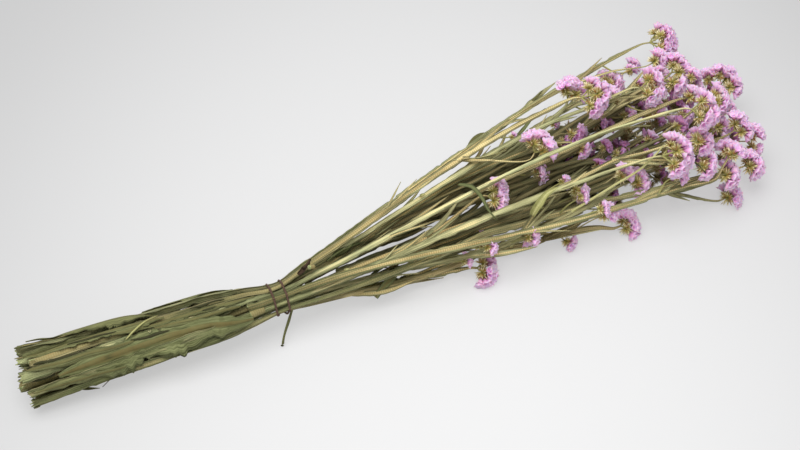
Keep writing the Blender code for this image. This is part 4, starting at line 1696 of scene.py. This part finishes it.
def lying_leaf(name, places, half_width, out, material, core=0.75):
    """A leaf that lies along the handle; places pair x with the angle round the handle, in degrees."""
    draw = random.Random(name)
    first, last = places[0][0], places[-1][0]
    steps = int((last - first) / LEAF_STEP)
    seed = draw.uniform(0, 99)
    shares = [k / steps for k in range(steps + 1)]
    stations = [first + share * (last - first) for share in shares]
    angles = [math.radians(between(places, x)) + 0.06 * ripple(share, 0.3, seed)
              for x, share in zip(stations, shares)]
    way = evened([on_handle(x, angle, out) for x, angle in zip(stations, angles)])
    falls = [evened([wing_fall(point, angle, side * half_width, out) for point, angle in zip(way, angles)])
             for side in (-1, 1)]
    rings = []
    tint = draw.random()
    for k, (share, point, angle, frame_here) in enumerate(zip(shares, way, angles, frames_along(way))):
        distance = frame_here[3]
        belly = math.sin(math.pi * (0.02 + 0.96 * share)) ** 0.7
        rib = core * min(1.0, 0.25 + belly * 1.5)
        wings = []
        for side, turn, part in ((1, 0.0, UPPER_PART), (2, math.pi, 2 - UPPER_PART)):
            wave = 1 + 0.22 * ripple(distance, 19, seed + side) + 0.16 * ripple(distance, 4, seed + side + 5)
            if ripple(distance, 11, seed + side + 9) > NOTCH_ABOVE:
                wave *= NOTCH
            reach = max(rib * 1.2, half_width * belly * part * wave)
            bend = (0.12 * reach * ripple(distance, 14, seed + side + 30)
                    + falls[side - 1][k] * (reach / half_width) ** 2)
            wings.append((turn, reach, bend if side == 1 else -bend))
        rings.append(laid(winged_outline(rib, wings, LEAF_STOPS), point, frame_here, tint, angle))
    shape = blank_shape()
    add_tube(shape, rings)
    return add_piece(name, shape, (material,))


broad_leaf = lying_leaf("broad_leaf", [(-280, 150), (-235, 138), (-200, 132), (-165, 142), (-134, 156)],
                        13.0, 1.6, grey_leaf_material, core=1.3)
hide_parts("handle_leaf")
print("points of the broad leaf:", len(broad_leaf.data.vertices))

# %% [markdown]
# Old leaf sheaths cling to the stems below the tie. They are darker than the broad leaf, ragged, and fill the
# furrows between the stems, all the way round. A few thin strips, almost black and shaped like torn leaves,
# are
# painted shade: they deepen the furrows beside the broad leaf.

# %% Leaf sheaths
SHEATHS = [
    ([(-299, 62), (-196, 78)], 4.8), ([(-301, 112), (-222, 118)], 3.4), ([(-236, 84), (-128, 94)], 2.6),
    ([(-300, 165), (-232, 172)], 3.4), ([(-205, 104), (-140, 118)], 2.6), ([(-296, 20), (-200, 35)], 4.5),
    ([(-250, -10), (-140, 8)], 4.0), ([(-292, 250), (-190, 262)], 4.2),
]
# Thin near-black strips in the furrows beside the broad leaf: painted shade.
FURROW_SHADE_STRIPS = [
    ([(-300, 93), (-256, 108)], 1.5), ([(-224, 117), (-186, 120)], 1.5), ([(-168, 97), (-132, 84)], 1.3),
    ([(-176, 80), (-150, 77)], 1.0), ([(-268, 72), (-232, 78)], 1.1), ([(-301, 142), (-282, 143)], 1.4),
]
for number, (places, half_width) in enumerate(SHEATHS, 1):
    lying_leaf(f"leaf_sheath_{number:02d}", places, half_width, -1.6, sheath_material)
for number, (places, half_width) in enumerate(FURROW_SHADE_STRIPS, 1):
    lying_leaf(f"dark_sheath_{number:02d}", places, half_width, -1.5, furrow_shade_material, core=0.5)
print("leaf sheaths:", len(SHEATHS) + len(FURROW_SHADE_STRIPS))

# %% The hanging leaf
HANGING_LEAF_X = -101
HANGING_LEAF_SIDE = math.radians(-125)
HANGING_LEAF_SPREAD = 19
HANGING_LEAF_SWING = 15


def hanging_leaf():
    """The narrow leaf under the elastic, which sweeps down to the surface."""
    draw = random.Random("hanging leaf")
    top = hull_point(ways, HANGING_LEAF_X, HANGING_LEAF_SIDE, SEAT)
    points = []
    for share in (0, 0.2, 0.45, 0.7, 0.9, 1):
        drop = (top.z - 0.8) * share ** 1.3
        sweep = math.sin(math.pi / 2 * share)
        points.append(top - Vector((HANGING_LEAF_SWING * sweep, HANGING_LEAF_SPREAD * sweep, drop)))
    shape = blank_shape()
    add_blade(shape, points, 1.9, draw, fold=0.5, tip=0.7, face=20)
    piece = add_piece("drooping_leaf", shape, (grey_leaf_material,))
    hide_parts("hanging_leaf")


hanging_leaf()
print("leaves on the handle and under the tie")

# %% [markdown]
# ### Smaller leaves and scraps
#
# These are the accidents that make a bunch look picked and dried rather than made: a curved leaf across the
# stems, a pale blade that has sprung off the handle, a folded leaf at a joint, a dark leaf base by the tie
# and scraps that trail along the lower edge.

# %% Leaves among the stems
# Points along each leaf, its half width and finish, and then, where they matter, its face, fold and tip.
LOOSE_LEAVES = {
    "crossing_leaf": ([(51, 38, 54), (54, 29, 61), (56, 21, 66), (59, 11, 64), (61, 3, 58), (66, -5, 51)],
                      1.8, green_leaf_material, 100),
    "pale_blade": ([(-227, -4, 39.5), (-219, 0, 42), (-210, 5, 42), (-200, 9, 39.5)],
                   0.8, pale_leaf_material, 60, 0.8),
    "folded_leaf": ([(96, -4, 44), (101, -3, 54), (109, 0, 60.5), (119, 2, 61.5)],
                    3.0, pale_leaf_material, 110, 0.9),
    "upper_leaf": ([(121, 93, 21), (130, 92, 31), (142, 98, 37), (156, 104, 37)],
                   1.7, green_leaf_material, 80),
    "torn_scrap": ([(-16, -2, 21), (-23, -7, 21), (-31, -11, 19), (-38, -15, 16)],
                   3.2, grey_leaf_material, 55, 0.2, 0.7),
    "edge_curl": ([(84, 95, 29), (90, 99, 30), (97, 101, 31), (102, 101, 31)],
                  1.7, sheath_material, 120, 0.5),
    "dry_tendril": ([(139, 112, 33), (147, 117, 35), (154, 119, 36), (163, 125, 36)],
                    1.1, sheath_material, 120, 0.4),
    "inner_leaf": ([(-66, 14, 38), (-56, 17, 41), (-44, 20, 40), (-32, 24, 36)],
                   2.0, green_leaf_material, 70, 0.7),
    "dark_leaf": ([(-58, 18, 36), (-48, 19, 40), (-40, 24, 41), (-36, 30, 38)],
                  1.7, green_leaf_material, 120, -0.7),
    "head_leaf": ([(231, 8, 48), (234, 0, 50), (238, -8, 49), (241, -14, 46)],
                  2.2, green_leaf_material, 40, 0.4),
    "low_leaf": ([(-36, -2, 26), (-24, 0, 30), (-12, 1, 30), (-2, 4, 26)],
                 1.9, green_leaf_material, 60, 0.6),
    "inner_sheath": ([(-301, 12, 31), (-280, 13, 30), (-255, 14, 29), (-232, 15, 28)],
                     5.0, sheath_material, 128, 0.1, 0.6),
    "lower_scrap": ([(-276, 2, 4), (-266, -8, 2.5), (-254, -12, 2)], 1.7, sheath_material),
    "leaf_base": ([(-92, 5, 44.5), (-89, 6, 46), (-86, 8, 47), (-83, 10, 46)],
                  1.8, brown_leaf_material, 130, 1.2, 0.6),
    "leaf_base_lobe": ([(-88, 8, 47), (-84, 8, 50), (-80, 12, 50)],
                       2.0, brown_leaf_material, 70, -0.9, 0.5),
    "loose_hair": ([(-252, -11, 1), (-244, -8, 4), (-238, -8, 6)],
                   0.35, brown_leaf_material, 90, 0.25, 0.6),
}

for name, (points, half_width, material, *form) in LOOSE_LEAVES.items():
    shape = blank_shape()
    add_blade(shape, [Vector(point) for point in points], half_width, random.Random(name), *form)
    add_piece(name, shape, (material,))
print("small leaves:", len(LOOSE_LEAVES))

# %% [markdown]
# Broken side stalks leave short stubs with a pale end, and here and there a papery flake sticks to a joint.

# %% Stubs and flakes
STUBS = [((-124, -9, 34), (-135, -11.5, 35), 2.7), ((-79, 6, 47), (-83, 4, 50.5), 1.7)]
STUB_SIDES = 10
FLAKES = [(-33, 14, 30), (109, 8, 30), (76, -9, 10), (-57, 3, 40), (20, 36, 52)]


def cut_stub(name, foot, end, radius):
    """A short round stub; its skin is that of a stem, and its end shows the pith."""
    way = smooth_way([foot, foot.lerp(end, 0.5), end], LEAF_STEP)
    rings = [round_ring(point, frame_here, radius, STUB_SIDES, core=1.0, edge=0.0, tint=0.5)
             for point, frame_here in zip(way, frames_along(way))]
    shape = blank_shape()
    add_tube(shape, rings, ends=(1, 1), press=False)
    add_piece(name, shape, (stem_material, pith_material))


for number, (foot, end, radius) in enumerate(STUBS, 1):
    cut_stub(f"cut_stub_{number:02d}", Vector(foot), Vector(end), radius)
for number, place in enumerate(FLAKES, 1):
    shape = blank_shape()
    draw = random.Random(f"flake {number}")
    here = min((point for way in ways for point in way), key=lambda point: (point - Vector(place)).length)
    here = here + UP_AXIS * 2.5
    add_blade(shape, [here, here + Vector((2, -1.5, 1.5)), here + Vector((4, -2, 2.5))], 1.6, draw, fold=0.7)
    add_piece(f"papery_flake_{number:02d}", shape, (pale_leaf_material,))
print("stubs:", len(STUBS), "flakes:", len(FLAKES))

# %% [markdown]
# ## Small sprays inside the bunch
#
# Between the large heads there are small ones on thin stalks. Each grows from whichever stem passes nearest
# behind it, so its stalk is found by a search along the stems.

# %% Minor sprays
MINOR_SPRAYS = [                    # the place of each, the way it faces and its width
    ((287, 39, 30), 20, 17), ((262, 102, 42), 40, 17), ((243, 106, 33), 50, 16), ((284, 84, 36), 25, 17),
    ((300, 55, 32), 30, 16), ((223, 84, 26), 40, 17), ((243, 78, 24), 35, 18), ((281, 26, 28), 10, 15),
    ((243, 121, 36), 60, 13), ((220, 108, 26), 50, 20), ((206, 102, 26), 50, 17), ((256, 60, 22), 30, 18),
    ((268, 66, 24), 10, 17), ((281, 83, 50), 30, 14), ((160, 91, 30), 0, 11), ((124, 94, 25), 20, 9),
    ((39, -11, 22), 10, 12), ((228, 50, 25), 20, 15), ((141, 9, 36), 20, 13), ((160, -4, 25), 0, 15),
    ((177, 76, 30), 30, 13), ((123, 39, 34), -20, 17), ((218, 100, 35), 50, 15), ((197, 10, 30), 10, 15),
    ((57, -14, 36), 25, 15), ((141, -1, 45), 15, 13), ((151, -17, 43), 10, 14), ((92, -14, 34), 20, 17),
    ((121, 39, 40), 25, 15), ((239, 93, 18), 40, 18), ((247, 72, 16), 20, 17), ((296, 36, 18), 10, 17),
    ((207, 56, 16), 15, 16), ((279, 16, 18), 10, 16), ((226, 10, 18), 10, 17), ((205, 83, 18), 30, 16),
    ((202, 63, 16), 20, 15), ((241, 69, 40), 40, 15), ((221, -10, 46), -10, 16), ((135, 21, 42), 20, 13),
]
STALKS_FROM = TIE_X + 60
STALK_RUN = 20.4                    # at least, along the bunch
DEEP_BELOW = 21                     # sprays lower than this lie in the others' shade, and their finishes paint it


def nearest_point(place):
    """The stem point, some way behind a place, that a thin stalk to the place would grow from."""
    behind = [point for way in ways for point in way if STALKS_FROM < point.x < place.x - STALK_RUN]
    return min(behind, key=lambda point: (point - place).length)


def small_spray(name, middle, angle, width):
    """A small spray with a thin stalk that grows from the nearest stem behind it."""
    draw = random.Random(name)
    facing = fan_direction(angle)
    side = spread_side(facing, angle, draw.uniform(-0.5, 0.5))
    shape = blank_shape()
    add_spray(shape, middle, (facing, side, facing.cross(side)), width, draw)
    foot = middle - facing * (HEAD_CENTRE * width)
    start = nearest_point(middle)
    bend = start.lerp(foot, 0.6) - facing * 2
    add_twig(shape, [start, bend, foot + facing * 2], 0.8, draw.random())
    # Low sprays get the shaded copies of the finishes: painted shade.
    deep = middle.z < DEEP_BELOW
    materials = (shaded_calyx_material, shaded_old_bract_material) if deep else (calyx_material, bract_material)
    flower_piece(name, shape, materials)


for number, (middle, angle, width) in enumerate(MINOR_SPRAYS, 1):
    small_spray(f"small_spray_{number:02d}", Vector(middle), angle, width)
print("small sprays:", len(MINOR_SPRAYS))

# %% [markdown]
# One thin straw-coloured stalk has slipped across the others and ends at a head in front.

# %% The stalk that crosses
CROSSING_STALK = [(120, -4, 30), (146, -5, 44), (167, -3, 51), (189, 0, 57), (206, 6, 63), (213, 10, 65)]

shape = blank_shape()
add_twig(shape, [Vector(point) for point in CROSSING_STALK], 1.3, 0.2)
add_piece("crossing_stalk", shape, (stem_material, pale_leaf_material))
print("one stalk crosses the others")

# %% [markdown]
# ## Slender stems
#
# Each stem forks again and again, and the slender side stems with their small late flowers fill the bunch
# from inside. They fork off a little above the elastic and stay low, below the big heads. Their places are
# drawn at random, and a place that comes too near another head is drawn again. Some have dropped their
# flowers, so only the dry scales are left.

# %% Where the slender stems end
SLENDER_STEMS = 56
SLENDER_TRIES = 6000
SLENDER_ROOM = 11                   # from the middle of one head to the next, at least
SLENDER_X = (150, 292)
NEAR_SIDE = [(150, 8), (292, 2)]    # the near and the far side of the bunch, at places along it
FAR_SIDE = [(150, 88), (292, 120)]
SLENDER_HEIGHTS = (10, 40)


def slender_places():
    """Where the slender stems' small heads lie, each with room to the heads before it."""
    draw = random.Random("slender stems")
    taken = [head.middle for head in heads.values()] + [Vector(row[0]) for row in MINOR_SPRAYS]
    places = []
    for _ in range(SLENDER_TRIES):
        x = draw.uniform(*SLENDER_X)
        place = Vector((x, draw.uniform(between(NEAR_SIDE, x), between(FAR_SIDE, x)),
                        draw.uniform(*SLENDER_HEIGHTS)))
        if min((place - other).length for other in taken) > SLENDER_ROOM:
            places.append(place)
            taken.append(place)
        if len(places) == SLENDER_STEMS:
            break
    return places


places = slender_places()
print("places for slender stems:", len(places))

# %% Making the slender stems
SLENDER_WIDTHS = [(-80, 2.5), (60, 2.4), (180, 1.6), (300, 0.9)]      # half widths
SLENDER_LOBES = 2
FORK_X = (-75, 35)
FORK_RUN = 22                       # a slender stem keeps to its parent's direction over this length


def slender_radius(x):
    """Half width of a slender stem with its wings."""
    return between(SLENDER_WIDTHS, x)


def side_stem(name, way, radius, lobes, draw):
    """A winged side stem with leafy lobes, as a piece of its own."""
    shape = blank_shape()
    add_tube(shape, strand_rings(way, stem_turns(way, draw), radius, draw.random(), draw))
    wing_lobes(shape, way, draw, lobes)
    # The darker stem finish: painted shade for stems inside the bunch.
    add_piece(name, shape, (shaded_old_stem_material, pith_material))


def slender_stem(number, place):
    """A slender stem that forks off a main stem and ends in a small spray."""
    draw = random.Random(f"slender stem {number}")
    width = draw.uniform(14, 19)
    facing = fan_direction(draw.uniform(-15, 55))
    foot = place - facing * (HEAD_CENTRE * width)
    fork_x = draw.uniform(*FORK_X)
    aim = foot.lerp(Vector((TIE_X, *handle_middle(TIE_X))), (foot.x - fork_x) / (foot.x - TIE_X))
    parent = min(ways, key=lambda way: min((point - aim).length for point in way))
    k = min(range(len(parent)), key=lambda k: (parent[k] - aim).length)
    start = parent[k]
    along = (parent[min(k + 6, len(parent) - 1)] - parent[k - 6]).normalized()
    ahead = start + along * FORK_RUN
    middle = ahead.lerp(foot, 0.5) + Vector((0, draw.uniform(-3, 3), draw.uniform(-5, 2)))
    way = smooth_way([start, ahead, middle, foot - facing * 8, foot + facing * 2], STEM_STEP)
    side_stem(f"slender_stem_{number:02d}", way, slender_radius, SLENDER_LOBES, draw)

    shape = blank_shape()
    side = Matrix.Rotation(draw.uniform(-0.6, 0.6), 3, facing) @ facing.cross(UP_AXIS).normalized()
    in_bloom = number % 2 > 0
    add_spray(shape, place, (facing, side, facing.cross(side)), width, draw, in_bloom)
    # The cups get the shaded calyx finish, and bare sprays the shaded scales: painted shade low in the bunch.
    scales = bract_material if in_bloom else shaded_old_bract_material
    flower_piece(f"late_spray_{number:02d}", shape, (shaded_calyx_material, scales))


for number, place in enumerate(places, 1):
    slender_stem(number, place)
print("slender stems:", len(places))

# %% [markdown]
# Some side stems end in a long leafy point instead of a flower.

# %% Stems without a flower
BLIND_LOBES = 7
BLIND_STEMS = [
    ([(-86, 12, 24), (-34, 28, 18), (37, 43, 15), (100, 60, 15), (165, 82, 20)], 2.3),
    ([(-84, 9, 20), (-10, 26, 14), (60, 38, 12), (150, 60, 14)], 2.0),
    ([(-80, 15, 28), (-20, 31, 24), (20, 38, 19), (58, 52, 16)], 2.6),
    ([(-70, 20, 28), (20, 50, 18), (91, 84, 13), (165, 96, 14), (225, 108, 18)], 2.0),
    ([(-60, 12, 26), (0, 22, 20), (70, 24, 16), (140, 30, 14)], 2.2),
    ([(-50, 22, 30), (40, 46, 26), (120, 66, 26), (200, 84, 30)], 1.8),
    ([(-20, 8, 20), (60, 20, 16), (130, 40, 12), (210, 52, 12)], 2.0),
    ([(-10, 40, 22), (80, 62, 20), (170, 82, 18), (252, 94, 22)], 2.2),
    ([(0, 34, 20), (90, 54, 16), (170, 66, 14), (236, 76, 18)], 2.2),
    ([(20, 26, 18), (110, 42, 14), (190, 52, 12), (262, 60, 16)], 2.2),
    ([(30, 16, 18), (120, 24, 14), (200, 32, 12), (272, 36, 14)], 2.2),
    ([(60, 62, 26), (150, 84, 26), (230, 98, 28), (268, 104, 32)], 2.0),
]

for number, (points, half_width) in enumerate(BLIND_STEMS, 1):
    way = smooth_way([Vector(point) for point in points], STEM_STEP)
    side_stem(f"blind_stem_{number:02d}", way, lambda x: half_width, BLIND_LOBES,
              random.Random(f"blind stem {number}"))
print("stems without a flower:", len(BLIND_STEMS))

# %% [markdown]
# A few more small sprays, low in the shade of the others and painted darker for it, close the last gaps
# between the big heads.

# %% Sprays deep in the gaps
DEEP_SPRAYS = [
    ((269, 106, 19), 45, 16), ((271, 84, 18), 30, 16), ((303, 89, 19), 25, 16), ((312, 88, 18), 30, 15),
    ((260, 29, 16), 10, 17), ((289, 41, 17), 15, 17), ((222, 18, 14), 0, 17),
]

for number, (middle, angle, width) in enumerate(DEEP_SPRAYS, len(MINOR_SPRAYS) + 1):
    small_spray(f"small_spray_{number:02d}", Vector(middle), angle, width)
print("sprays deep in the gaps:", len(DEEP_SPRAYS))

# %% [markdown]
# ## The dressed bunch
#
# Papery rims may stand a little proud of the frame, and nothing else should.
